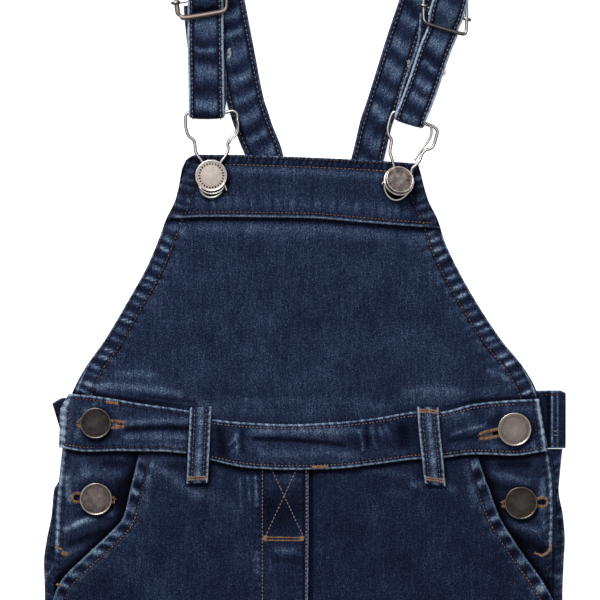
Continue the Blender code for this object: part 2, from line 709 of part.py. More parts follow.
def makeButton(name, centre, foot, head):
    """A tack button: a thin shank under a shallow dished head with a rolled rim."""
    radius = 0.5 * buttonWidth
    shank = 0.5 * shankWidth
    under = [(0.0, foot), (shank, foot), (shank, head), (radius - 1.1, head)]
    rim = [(radius, head + 0.7), (radius - 0.05, head + 1.3), (radius - 0.6, head + 1.8)]
    dish = [(radius - 1.3, head + 1.5), (radius * 0.45, head + 1.7), (0.0, head + 1.8)]
    turnedPiece(name, centre, under + rim + dish)


def makeLoop(name, path):
    x, y, z, turn = np.array(path, dtype=float).T
    ribbon(name, np.stack([x, y, z], axis=1), turn, np.full(len(x), loopWidth), loopThick)


# Building everything

makeBib()
makeBand()
waistPiece = makeWaistband()
makeBackWaistband()
makeBackBib()
makeFrontLeg("front_leg_left", -1)
makeFrontLeg("front_leg_right", 1)
makeBackLeg("back_leg_left", -1)
makeBackLeg("back_leg_right", 1)
panels = {-1: makeSidePanel("side_panel_left", -1), 1: makeSidePanel("side_panel_right", 1)}
makeSideExtension("side_extension_left", -1)
makeSideExtension("side_extension_right", 1)
for label in ("left", "right"):
    makeStrap(label)
    makeClip(label)
    makeSlider(label)

waistButtons = {-1: (-112.9, 25.4), 1: (112.9, 22.1)}
hipButtons = {-1: (-112.9, -15.7), 1: (116.6, -17.8)}
words = {-1: "left", 1: "right"}
for side in (-1, 1):
    word = words[side]
    makeButton("waist_button_" + word, waistButtons[side], 3.5, 8.3)
    makeButton("hip_button_" + word, hipButtons[side], 3.0, 5.2)
    slotMiddle = waistButtons[side][0] - side * 7.6, waistButtons[side][1]
    cutSlot(waistPiece, "waist_slot_cutter_" + word, slotMiddle, buttonSlot, 2.0, 12.0)
    hipMiddle = hipButtons[side][0] + side * 4.0, hipButtons[side][1]
    cutSlot(panels[side], "hip_slot_cutter_" + word, hipMiddle, buttonSlot, 2.0, 9.0)
    makeButton("bib_button_" + word, sides[word]["button"], 6.3, 8.7)

# x, y, height and turn down the middle of each belt loop
makeLoop("belt_loop_left", [
    (-58.2, -7.0, 8.8, 3), (-57.9, -1.5, 8.9, 3), (-57.6, 3.6, 10.3, 3), (-57.2, 12, 10.5, 3),
    (-56.6, 24, 10.4, 3), (-56.3, 30, 10.3, 3), (-56.2, 34, 9.8, 3),
])
makeLoop("belt_loop_right", [
    (70.4, -8.0, 8.2, -8), (69.6, -2.5, 8.2, -8), (69.0, 3.2, 10.5, -7), (68.0, 12, 10.6, -6),
    (66.8, 24, 10.6, -4), (66.4, 30, 10.5, -3), (66.2, 34, 9.9, -3),
])

# The origin is the centre of the garment's base
solids = [piece for piece in bpy.data.objects if not piece.hide_render]
corners = np.array([tuple(vertex.co) for piece in solids for vertex in piece.data.vertices])
middle = 0.5 * (corners.min(axis=0) + corners.max(axis=0))
for piece in bpy.data.objects:
    for vertex in piece.data.vertices:
        vertex.co.x -= middle[0]
        vertex.co.y -= middle[1]
rounded = ("strap", "clip", "slider", "waist_button", "hip_button", "bib_button", "belt_loop")
for piece in solids:
    if piece.name.startswith(rounded):
        piece.data.shade_smooth()
        piece.data.set_sharp_from_angle(angle=math.radians(35))
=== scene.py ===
# Kids dungarees in dark denim, laid flat on their back with the front up.
import json
import math
from functools import partial

import bpy
import numpy as np
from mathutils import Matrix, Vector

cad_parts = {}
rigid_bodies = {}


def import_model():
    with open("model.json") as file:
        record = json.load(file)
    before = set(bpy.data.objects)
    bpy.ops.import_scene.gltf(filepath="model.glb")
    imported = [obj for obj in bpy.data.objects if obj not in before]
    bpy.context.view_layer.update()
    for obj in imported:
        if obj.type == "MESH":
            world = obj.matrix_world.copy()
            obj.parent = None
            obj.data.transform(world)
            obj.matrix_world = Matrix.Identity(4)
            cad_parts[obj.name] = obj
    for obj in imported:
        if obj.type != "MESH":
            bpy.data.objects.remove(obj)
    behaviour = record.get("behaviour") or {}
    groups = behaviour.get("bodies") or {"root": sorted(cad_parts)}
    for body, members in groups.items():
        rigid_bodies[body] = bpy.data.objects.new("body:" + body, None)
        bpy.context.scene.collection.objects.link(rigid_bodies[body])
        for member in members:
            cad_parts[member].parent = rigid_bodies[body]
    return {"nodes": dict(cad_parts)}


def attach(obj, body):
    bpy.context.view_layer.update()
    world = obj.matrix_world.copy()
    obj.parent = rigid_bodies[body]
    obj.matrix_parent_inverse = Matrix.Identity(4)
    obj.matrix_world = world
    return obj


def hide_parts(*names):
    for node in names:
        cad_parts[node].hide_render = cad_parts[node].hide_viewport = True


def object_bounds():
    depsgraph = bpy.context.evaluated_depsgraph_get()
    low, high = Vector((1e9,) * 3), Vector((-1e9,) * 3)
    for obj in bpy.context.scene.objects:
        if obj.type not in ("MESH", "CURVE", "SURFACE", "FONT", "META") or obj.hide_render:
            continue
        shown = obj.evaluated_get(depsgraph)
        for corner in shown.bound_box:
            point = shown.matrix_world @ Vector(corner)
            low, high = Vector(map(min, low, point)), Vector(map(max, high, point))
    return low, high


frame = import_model()
scene = bpy.context.scene
cadBounds = [list(corner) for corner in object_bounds()]
print("frame:", len(frame["nodes"]), "nodes")

# Every shape is in millimetres: x across the garment, y up from the waist seam, z out of the front
mm = 0.001
legLength, crotchDepth = 530.0, 158.0
waistSeam = cadBounds[0][1] / mm + legLength  # where the waist seam lies up the frame
clothThick = {"layer": 1.2, "doubled": 2.0, "hem": 0.8, "gap": 0.3}
sideNames = {-1: "left", 1: "right"}


def table(names, rows):  # named columns from rows, sorted by the first column
    return dict(zip(names.split(), np.array(sorted(rows), dtype=float).T))


def mix(low, high, share):
    return low + (high - low) * share


# the cubic between two values, from the slopes at its two ends times the step between them
def cubic(low, high, leaving, arriving, t):
    return mix(low, high, t) + t * (1 - t) * (leaving * (1 - t) - arriving * t + (high - low) * (2 * t - 1))


# a column read between its rows: a cubic through every row that never swings past them
def curve(columns, name, at):
    place, value = next(iter(columns.values())), columns[name]
    step = np.diff(place)
    rise = np.diff(value) / step
    slope = np.concatenate([rise[:1], 0 * rise[1:], rise[-1:]])
    same = rise[:-1] * rise[1:] > 0
    near, far = 2 * step[1:] + step[:-1], step[1:] + 2 * step[:-1]
    before, after = np.where(same, rise[:-1], 1.0), np.where(same, rise[1:], 1.0)
    slope[1:-1] = np.where(same, (near + far) / (near / before + far / after), 0.0)
    at = np.asarray(at, dtype=float)
    i = np.clip(np.searchsorted(place, at) - 1, 0, len(step) - 1)
    t = np.clip((at - place[i]) / step[i], 0.0, 1.0)
    return cubic(value[i], value[i + 1], slope[i] * step[i], slope[i + 1] * step[i], t)


def curves(columns, names, at):  # several columns read at once
    return [curve(columns, name, at) for name in names.split()]


def smooth(start, end, value):  # an S-shaped step from 0 to 1
    step = np.clip((value - start) / (end - start), 0.0, 1.0)
    return step * step * (3.0 - 2.0 * step)


def fading(start, end, value):  # the same step from 1 to 0
    return 1 - smooth(start, end, value)


def bump(value, centre, width):  # a bell curve, 1 at its centre
    return np.exp(-((value - centre) / width) ** 2)


# an uneven wave between -1 and 1: four sines whose lengths don't divide each other
def waver(along, length, seed):
    total = 0.0
    for k, (share, weight) in enumerate(((1.0, 0.42), (0.618, 0.28), (0.382, 0.19), (0.227, 0.11))):
        total = total + weight * np.sin(2 * math.pi * along / (length * share) + seed * (1.7 + k) + 2.1 * k)
    return total


# the puckers of a sewn seam: a wave along it whose pitch and height wander, leaning across the seam
def roping(along, across, pitch, lean, seed):
    phase = 2 * math.pi * (along + lean * across) / pitch
    wander = 1.5 * waver(along, 9.3 * pitch, seed)
    height = 0.62 + 0.38 * waver(along, 4.1 * pitch, seed + 3.0)
    return np.sin(phase + wander + 0.6 * np.sin(phase * 0.5 + seed)) * height


def ropedEdge(along, across, pitch, lean, seed, near, far):  # puckers that fade out between two distances
    return roping(along, across, pitch, lean, seed) * fading(near, far, across)


# Soft folds: each a ridge or trough with a bow, uneven along its length, fading at both ends; rub is how
# much paler (or darker) the cloth is along it: partly real rubbing, partly a painted highlight along ridges and painted
# shade along troughs
def foldField(x, y, rows):
    rise = np.zeros(np.broadcast(x, y).shape)
    rubAndPaintedLight = np.zeros_like(rise)
    for x1, y1, x2, y2, height, width, bow, wornAndPaintedLight in rows:
        length = math.hypot(x2 - x1, y2 - y1)
        along = ((x - x1) * (x2 - x1) + (y - y1) * (y2 - y1)) / length
        across = ((y - y1) * (x2 - x1) - (x - x1) * (y2 - y1)) / length
        across = across - bow * np.sin(math.pi * np.clip(along / length, 0, 1))
        soft = min(width, 0.45 * length)
        ends = smooth(-0.5 * soft, 0.7 * soft, along) * fading(length - 0.7 * soft, length + 0.5 * soft, along)
        uneven = 1.0 + 0.22 * waver(along, 3.2 * width + 6.0, x1 + y2)
        rise += height * bump(across, 0.0, width) * ends * uneven
        rubAndPaintedLight += wornAndPaintedLight * bump(across, 0.0, 0.8 * width) * ends * uneven
    return rise, rubAndPaintedLight


# Meshes

def joined(*parts):  # arrays made one shape and stacked as coordinates
    return np.stack(np.broadcast_arrays(*parts), axis=-1)


def unit(vectors):
    return vectors / np.maximum(np.linalg.norm(vectors, axis=-1), 1e-9)[..., None]


def runOf(points):  # the length along a path, up to each of its points
    return np.concatenate([[0], np.cumsum(np.linalg.norm(np.diff(points, axis=0), axis=1))])


def turns(count):  # even angles round a circle
    return 2 * math.pi * np.arange(count) / count


def around(first, second, sides):  # a ring of directions, from two that are square to each other
    angle = turns(sides)[:, None]
    return np.cos(angle) * first[..., None, :] + np.sin(angle) * second[..., None, :]


def toFrame(points):
    placed = np.array(points, dtype=float).reshape(-1, 3) * mm
    placed[:, 1] += waistSeam * mm
    return placed


def volume(points, faceSets):  # what closed faces enclose, below 0 when they face inwards
    points = np.asarray(points, dtype=float)
    points = points - points.mean(axis=0)
    total = 0.0
    for faces in faceSets:
        corner = points[np.asarray(faces)]
        for j in range(1, corner.shape[1] - 1):
            total += np.sum(corner[:, 0] * np.cross(corner[:, j], corner[:, j + 1]))
    return total


def placed(name, data):  # a new object in the scene
    made = bpy.data.objects.new(name, data)
    scene.collection.objects.link(made)
    return made


# faceSets holds arrays of faces, each array with one number of corners; cloth is a pattern coordinate in
# millimetres for each point, and values are named numbers for each point
def addPiece(name, points, faceSets, finish, slot, node, cloth, values={}):
    mesh = bpy.data.meshes.new(name)
    if slot == "denim":  # flat where the garment rests
        points = np.concatenate([points[:, :2], np.maximum(points[:, 2:], 0.0)], axis=1)
    if volume(points, faceSets) < 0:
        faceSets = [faces[:, ::-1] for faces in faceSets]
    corners = np.concatenate([faces.ravel() for faces in faceSets]).astype(np.int32)
    sizes = np.concatenate([np.full(len(faces), faces.shape[1]) for faces in faceSets])
    mesh.vertices.add(len(points))
    mesh.vertices.foreach_set("co", toFrame(points).ravel())
    mesh.loops.add(len(corners))
    mesh.loops.foreach_set("vertex_index", corners)
    mesh.polygons.add(len(sizes))
    mesh.polygons.foreach_set("loop_start", (np.cumsum(sizes) - sizes).astype(np.int32))
    mesh.uv_layers.new(name="cloth").uv.foreach_set("vector", (cloth.reshape(-1, 2)[corners] * mm).ravel())
    for label, numbers in values.items():
        mesh.attributes.new(label, "FLOAT", "POINT").data.foreach_set("value", numbers.ravel())
    mesh.update(calc_edges=True)
    mesh.validate()
    mesh.shade_smooth()
    mesh.materials.append(finish)
    piece = placed(name, mesh)
    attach(piece, "root")
    if node:
        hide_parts(node)
    return piece


# the faces of a grid of point numbers: rows run up, columns to the right and the faces look forwards; a ring's
# columns close on themselves, and so do the rows of a loop
def quads(number, ring=False, loop=False):
    if ring:
        number = np.concatenate([number, number[:, :1]], axis=1)
    if loop:
        number = np.concatenate([number, number[:1]])
    return np.stack([number[:-1, :-1], number[:-1, 1:], number[1:, 1:], number[1:, :-1]], axis=-1).reshape(-1, 4)


def tube(rows, sides, closed=False):  # rings in a row, closed on themselves or capped at both ends
    number = np.arange(rows * sides).reshape(rows, sides)
    caps = [] if closed else [np.stack([number[0, ::-1], number[-1]])]
    return [quads(number, ring=True, loop=closed), *caps]


# the pieces of cloth whose names aren't their nodes'
clothNames = {"front_bib": "bib", "bib_top_band": "bib_band", "front_waistband": "waistband"}


def addCloth(node, points, faceSets, cloth, wearAndPaintedLight, flat, held, **more):
    name = clothNames.get(node, node) + "_cloth"
    piece = addPiece(name, points, faceSets, denimFinish, "denim", node, cloth, {"wearAndPaintedLight": wearAndPaintedLight})


# a cloth wall over a grid, from the heights of its back and front and its wear with painted light and shade: two
# sheets, joined round the rim by a half round of the wall's thickness that is set in by the radius of the fold
def shell(node, x, y, sheet, roundness=0.5):
    back, front, wearAndPaintedLight = (np.broadcast_to(part, x.shape).ravel() for part in sheet)
    number = np.arange(x.size).reshape(x.shape)
    rim = np.concatenate([number[0, :-1], number[:-1, -1], number[-1, :0:-1], number[:0:-1, 0]])
    flat = joined(x.ravel(), y.ravel())
    edge = flat[rim]
    along = unit(np.roll(edge, -1, axis=0) - np.roll(edge, 1, axis=0))
    inward = joined(-along[:, 1], along[:, 0])
    flat[rim] = edge + inward * roundness
    high, low = front[rim], back[rim]
    layers = [(flat, front, flat, wearAndPaintedLight), (flat, back, flat, wearAndPaintedLight * 0.3)]
    for degrees in (150, 115, 65, 30):  # from the back round to the front
        angle = math.radians(degrees)
        ring = edge + inward * roundness * (1 - math.sin(angle))
        level = 0.5 * (high + low) + 0.5 * (high - low) * math.cos(angle)
        layers.append((ring, level, ring - inward * 0.3 * degrees / 90, wearAndPaintedLight[rim]))
    place, level, cloth, wornAndPaintedLight = (np.concatenate(part) for part in zip(*layers))
    rings = 2 * x.size + np.arange(4 * len(rim)).reshape(4, -1)
    bands = quads(np.concatenate([[rim + x.size], rings, [rim]]), ring=True)
    faces = np.concatenate([quads(number), quads(number + x.size)[:, ::-1], bands])
    after = np.roll(edge, -1, axis=0)
    area = 0.5 * abs(np.sum(edge[:, 0] * after[:, 1] - after[:, 0] * edge[:, 1]))
    addCloth(node, np.column_stack([place, level]), [faces], cloth, wornAndPaintedLight, np.ptp(edge, axis=0), "laid",
             area=area * mm * mm)


edgeSteps = (0.0, 1.0, 1.6, 2.3, 3.1, 4.0, 5.0, 6.1, 7.3, 8.5, 9.7, 11.0, 12.5)


# places across a panel: close together near its two edges, even between them
def acrossGrid(left, right, spacing, steps=edgeSteps):
    left, right, steps = np.atleast_2d(left), np.atleast_2d(right), np.array(steps)
    count = max(2, int((float(np.max(right - left)) - 2 * steps[-1]) / spacing))
    inside = np.linspace(0, 1, count + 1)[1:-1]
    return np.concatenate([left + steps, mix(left + steps[-1], right - steps[-1], inside), right - steps[::-1]], axis=1)


def rungs(*spans):  # heights up a panel: single ones, and spans with their step
    return np.concatenate([np.arange(*span) if isinstance(span, tuple) else [span] for span in spans])[:, None]


# a panel from its two edges at each height, and the sheet that gives its back, front and its wear with painted light
# and shade
def makePanel(node, heights, edges, spacing, sheet, roundness=0.5, steps=edgeSteps):
    x = acrossGrid(np.minimum(*edges), np.maximum(*edges), spacing, steps)
    y = np.broadcast_to(heights, x.shape)
    shell(node, x, y, sheet(x, y), roundness)


def edgeSlope(columns, name, y):  # how far a side edge runs across for each millimetre up
    return curve(columns, name, y + 0.5) - curve(columns, name, y - 0.5)


def fromEdge(columns, name, x, y, sign):  # distance in from a side edge, square to it
    return sign * (x - curve(columns, name, y)) / np.sqrt(1 + edgeSlope(columns, name, y) ** 2)


def inFrom(columns, name, heights, inset, sign):  # a line this far in from a side edge
    slope = edgeSlope(columns, name, heights)
    step = sign * inset / np.sqrt(1 + slope ** 2)
    return curve(columns, name, heights) + step, heights - step * slope


def alongEdge(columns, name, y):  # the length along a side edge, up to a height
    first = next(iter(columns.values()))
    dense = np.linspace(first[0], first[-1], 600)
    return np.interp(y, dense, runOf(joined(curve(columns, name, dense), dense)))


# a curve through every row of a path (Catmull and Rom's, spaced by the chords), read at even steps; columns
# after the first three are carried along
def smoothPath(rows, step, closed=False):
    rows = np.array(rows, dtype=float)
    if closed:
        rows = np.concatenate([rows[-2:], rows, rows[:3]])
    chord = np.maximum(np.linalg.norm(np.diff(rows[:, :3], axis=0), axis=1), 1e-6)
    place = np.concatenate([[0], np.cumsum(np.sqrt(chord))])
    slope = np.gradient(rows, place, axis=0)
    first, last = (2, -3) if closed else (0, -1)
    dense = np.linspace(place[first], place[last], 40 * len(rows))
    i = np.clip(np.searchsorted(place, dense, side="right") - 1, 0, len(place) - 2)
    gap = (place[i + 1] - place[i])[:, None]
    t = (dense - place[i])[:, None] / gap
    fine = cubic(rows[i], rows[i + 1], slope[i] * gap, slope[i + 1] * gap, t)
    length = runOf(fine[:, :3])
    even = np.linspace(0, length[-1], max(4, int(round(length[-1] / step))), endpoint=not closed)
    return np.stack([np.interp(even, length, column) for column in fine.T], axis=1)


# a round wire: a ring of points carried along a path, closed on itself or capped at both ends
def wire(name, path, radius, finish, node=None, closed=True, sides=14, highlightShare=1.0):
    along = unit(np.roll(path, -1, axis=0) - np.roll(path, 1, axis=0) if closed else np.gradient(path, axis=0))
    first = unit(np.cross(along, [0.0, 0.0, 1.0] if np.abs(along[:, 2]).max() < 0.75 else [0.0, 1.0, 0.0]))
    ring = around(first, np.cross(along, first), sides)
    points = (path[:, None] + np.reshape(radius, (-1, 1, 1)) * ring).reshape(-1, 3)
    # each point keeps how far it faces up, which its finish turns into a painted highlight along the top and painted
    # shade down the sides
    addPiece(name, points, tube(len(path), sides, closed), finish, "wire", node,
             joined(turns(sides), runOf(path)[:, None]), {"paintedHighlight": ring[..., 2] * np.reshape(highlightShare, (-1, 1))})


# Thread: every stitch is a short round strand whose ends dip into the cloth
strandShape = {"places": np.array([0.0, 0.16, 0.5, 0.84, 1.0]), "widths": np.array([0.4, 0.92, 1.0, 0.92, 0.4]),
               "lift": np.array([-0.7, 0.25, 0.6, 0.25, -0.7]), "sides": 5}
seams = {}  # rows of strands by the piece that they are made in


def addRow(group, laid, thick, dye, uneven=0.0):  # laid is the strands' points and the way up from them
    row = {"path": laid[0], "up": laid[1], "thick": thick, "dye": dye, "uneven": uneven}
    seams.setdefault(group, []).append(row)


# a row's dye: one number, two that take turns, or a list of pairs of x and dye; uneven from strand to strand
def dyeAlong(row):
    number = np.arange(len(row["path"]))
    if isinstance(row["dye"], list):
        dye = np.interp(row["path"][:, 2, 0], *np.array(row["dye"]).T)
    else:
        dye = np.resize(row["dye"], len(number)).astype(float)
    wander = np.sin(number * 2.4 + len(number)) + 0.8 * np.sin(number * 0.37 + 1.3) + 0.6 * np.sin(number * 1.13)
    return dye + row["uneven"] * wander


def strands(name, rows, finish=None, slot="thread"):
    paths, ups = (np.concatenate([row[part] for row in rows]) for part in ("path", "up"))
    radius = 0.5 * np.concatenate([np.full(len(row["path"]), row["thick"]) for row in rows])
    dye = np.clip(np.concatenate([dyeAlong(row) for row in rows]), 0, threadDyes[-1][0])
    count, sections, sides = len(paths), paths.shape[1], strandShape["sides"]
    number = np.arange(count)
    radius = (radius * (1.0 + 0.10 * np.sin(number * 1.9) + 0.08 * np.sin(number * 0.71)))[:, None]
    along = unit(np.gradient(paths, axis=1))
    across = unit(np.cross(along, ups))
    up = np.cross(across, along)
    centre = paths + up * (radius * strandShape["lift"])[..., None]
    ring = (radius * strandShape["widths"])[..., None, None] * around(across, up, sides)
    points = (centre[:, :, None] + ring).reshape(-1, 3)
    points[:, 2] = np.where(points[:, 2] < 0, 0.3 * points[:, 2], points[:, 2])
    grid = np.arange(len(points)).reshape(count, sections, sides)
    faces = (grid[:, :1, :1] + quads(grid[0], ring=True)).reshape(-1, 4)
    caps = np.concatenate([grid[:, 0], grid[:, -1, ::-1]])
    length = np.linalg.norm(paths[:, -1] - paths[:, 0], axis=1)[:, None, None] * strandShape["places"][:, None]
    cloth = joined(length + 3.1 * number[:, None, None], 0.2 * turns(sides))
    addPiece(name, points, [faces, caps], finish or threadFinish, slot, None, cloth,
             {"dye": np.repeat(dye, sections * sides)})


# a row of stitches along a line drawn on a surface; the surface turns two parameters into x, y, z and up
def sew(group, surface, p, q, dye, pitch=2.0, length=1.5, thick=0.55, uneven=0.04):
    p, q = np.broadcast_arrays(p, q)
    run = runOf(surface(p, q)[0])
    count = max(1, int((run[-1] - 0.3) / pitch))
    begin = np.linspace(0.15, run[-1] - 0.15 - length, count) + 0.1 * np.sin(np.arange(count) * 2.9)
    places = begin[:, None] + length * strandShape["places"]
    addRow(group, surface(np.interp(places, run, p), np.interp(places, run, q)), thick, dye, uneven)


# satin stitches laid side by side across a line, from one side of it to the other
def satin(group, surface, p, q, low, high, dye, pitch=0.42, thick=0.42, slant=0.3, uneven=0.09):
    p, q = np.broadcast_arrays(p, q)
    run = runOf(joined(p, q))
    begin = np.arange(0.0, run[-1], pitch)
    at = lambda place: joined(np.interp(place, run, p), np.interp(place, run, q))
    way = unit(at(begin + 0.2) - at(begin - 0.2))
    (x, y), (dx, dy) = at(begin).T[..., None], way.T[..., None]
    shift = slant * (strandShape["places"] - 0.5)
    reach = mix(low, high, strandShape["places"]) * (1.0 + 0.05 * np.sin(np.arange(len(begin)) * 2.1))[:, None]
    addRow(group, surface(x - dy * reach + dx * shift, y + dx * reach + dy * shift), thick, dye, uneven)


def lineTo(x1, y1, x2, y2, count=40):
    return np.linspace(x1, x2, count), np.linspace(y1, y2, count)


def facing(points, way=1.0):  # points with the same way up for each
    return points, np.broadcast_to(np.array([0.0, 0.0, way]), points.shape)


def onPanel(front, lift=0.0):  # a surface for sewing on: the panel's own front height
    return lambda x, y: facing(joined(x, y, front(x, y)[1] + lift))


# Finishes

def addNode(tree, kind, inputs=None, **settings):
    made = tree.nodes.new(kind)
    for key, value in settings.items():
        setattr(made, key, value)
    for key, value in (inputs or {}).items():
        if isinstance(value, bpy.types.NodeSocket):
            tree.links.new(value, made.inputs[key])
        else:
            made.inputs[key].default_value = value
    return made


# a Math node; a sum of more terms is a chain of them
def calc(tree, operation, *terms):
    while operation == "ADD" and len(terms) > 2:
        terms = (calc(tree, "ADD", *terms[:2]), *terms[2:])
    return addNode(tree, "ShaderNodeMath", dict(enumerate(terms)), operation=operation).outputs[0]


def weighted(tree, *pairs):  # a sum of values, each times its weight
    return calc(tree, "ADD", *[calc(tree, "MULTIPLY", value, weight) for value, weight in pairs])


def ramp(tree, value, stops):
    made = addNode(tree, "ShaderNodeValToRGB", {0: value})
    band = made.color_ramp.elements
    while len(band) < len(stops):
        band.new(0.5)
    for element, (place, colour) in zip(band, stops):
        element.position = place
        element.color = (*colour, 1.0)
    return made.outputs[0]


# indigo from deep dye to rubbed pale, by level from -1 to 1; its darkest end also colours the painted shade
denimDyes = [
    (-1.0, (0.0006, 0.0007, 0.0018)), (-0.5, (0.0024, 0.0033, 0.0090)), (0.0, (0.0080, 0.0120, 0.0305)),
    (0.25, (0.0185, 0.0295, 0.0620)), (0.5, (0.0450, 0.0700, 0.1200)), (0.75, (0.1080, 0.1500, 0.2150)),
    (1.0, (0.2500, 0.3100, 0.3950)),
]


# The weave: warp slubs run up the cloth, weft dots step up it as twill; wear and painted light and shade set how pale
# it is
def makeDenimGroup():
    group = bpy.data.node_groups.new("denim twill", "ShaderNodeTree")
    for label, way, kind in (("Cloth", "INPUT", "Vector"), ("WearAndPaintedLight", "INPUT", "Float"), ("Contrast", "INPUT", "Float"),
                             ("Colour", "OUTPUT", "Color"), ("Height", "OUTPUT", "Float")):
        group.interface.new_socket(label, in_out=way, socket_type="NodeSocket" + kind)
    given, outlet = group.nodes.new("NodeGroupInput").outputs, group.nodes.new("NodeGroupOutput")
    u, v, _ = addNode(group, "ShaderNodeSeparateXYZ", {0: given["Cloth"]}).outputs
    do, total = partial(calc, group), partial(weighted, group)

    def speckle(across, along, detail, seed):  # noise with its grains this many to the metre each way
        place = addNode(group, "ShaderNodeCombineXYZ",
                        {0: do("MULTIPLY", u, across), 1: do("MULTIPLY", v, along), 2: seed})
        made = addNode(group, "ShaderNodeTexNoise", {"Vector": place.outputs[0], "Scale": 1.0, "Detail": detail,
                                                     "Roughness": 0.6})
        return do("SUBTRACT", made.outputs["Fac"], 0.5)

    slub, fine = speckle(900.0, 70.0, 2.0, 1.3), speckle(1900.0, 380.0, 2.0, 4.7)
    grain, mottle = speckle(1400.0, 1250.0, 3.0, 8.1), speckle(60.0, 52.0, 4.0, 12.9)
    # warp yarns 0.42 mm apart and weft yarns 0.47 mm apart; every third crossing shows a dot of weft
    warp, weft = total((u, 1000 / 0.42), (slub, 2.2)), total((v, 1000 / 0.47), (fine, 1.2))
    step = do("ADD", do("FLOOR", warp), do("FLOOR", weft))
    dot = do("LESS_THAN", do("FLOORED_MODULO", step, 3.0), 0.5)
    yarn = do("SUBTRACT", do("FRACT", warp), 0.5)
    yarnTop = do("MULTIPLY_ADD", do("MULTIPLY", yarn, yarn), -4.0, 1.0)
    strength = do("MULTIPLY_ADD", do("MAXIMUM", given["WearAndPaintedLight"], 0.0), 0.05, given["Contrast"])
    texture = total((slub, 0.50), (fine, 0.85), (grain, 2.3), (dot, 0.16))
    level = total((given["WearAndPaintedLight"], 1.0), (texture, strength), (mottle, 0.55))
    colour = ramp(group, do("MULTIPLY_ADD", level, 0.5, 0.5), [(0.5 + 0.5 * place, dye) for place, dye in denimDyes])
    group.links.new(colour, outlet.inputs["Colour"])
    group.links.new(total((yarnTop, 0.6), (dot, -0.5), (grain, 0.8)), outlet.inputs["Height"])
    return group


def newFinish(name, settings):
    made = bpy.data.materials.new(name)
    made.use_nodes = True
    shader = made.node_tree.nodes["Principled BSDF"]
    for key, value in settings.items():
        shader.inputs[key].default_value = value
    return made, made.node_tree, shader


def dress(tree, shader, colour, height, strength, distance):  # lays a colour and a fine relief on a finish
    relief = addNode(tree, "ShaderNodeBump", {"Strength": strength, "Distance": distance, "Height": height})
    tree.links.new(colour, shader.inputs["Base Color"])
    tree.links.new(relief.outputs[0], shader.inputs["Normal"])


def stored(tree, name):  # a number that a piece holds for each of its points
    return addNode(tree, "ShaderNodeAttribute", attribute_name=name).outputs["Fac"]


def makeDenim():
    made, tree, shader = newFinish("dark denim", {"Roughness": 0.9, "Specular IOR Level": 0.03})
    cloth = addNode(tree, "ShaderNodeUVMap", uv_map="cloth").outputs[0]
    weave = addNode(tree, "ShaderNodeGroup", node_tree=makeDenimGroup())
    weave.inputs["Contrast"].default_value = 0.80
    tree.links.new(cloth, weave.inputs["Cloth"])
    tree.links.new(stored(tree, "wearAndPaintedLight"), weave.inputs["WearAndPaintedLight"])
    dress(tree, shader, weave.outputs["Colour"], weave.outputs["Height"], 0.45, 0.00016)
    return made


# thread by dye: grey black, brown, rust, orange, two tans, blue grey and the pale fluff of a frayed end
threadDyes = [
    (0.0, (0.020, 0.020, 0.027)), (0.18, (0.060, 0.036, 0.032)), (0.36, (0.135, 0.068, 0.045)),
    (0.54, (0.340, 0.180, 0.080)), (0.68, (0.150, 0.100, 0.092)), (0.84, (0.190, 0.152, 0.158)),
    (1.0, (0.135, 0.140, 0.170)), (1.25, (0.42, 0.42, 0.43)),
]


def makeThread():
    made, tree, shader = newFinish("topstitching thread", {"Roughness": 0.75, "Specular IOR Level": 0.2})
    cloth = addNode(tree, "ShaderNodeUVMap", uv_map="cloth").outputs[0]
    twist = addNode(tree, "ShaderNodeTexWave", {"Vector": cloth, "Scale": 480.0, "Distortion": 1.0},
                    bands_direction="DIAGONAL").outputs["Fac"]
    last = threadDyes[-1][0]  # a ramp ends at 1
    level = weighted(tree, (stored(tree, "dye"), 1 / last), (calc(tree, "SUBTRACT", twist, 0.5), 0.10 / last))
    colour = ramp(tree, level, [(place / last, dye) for place, dye in threadDyes])
    dress(tree, shader, colour, twist, 0.5, 0.0001)
    return made


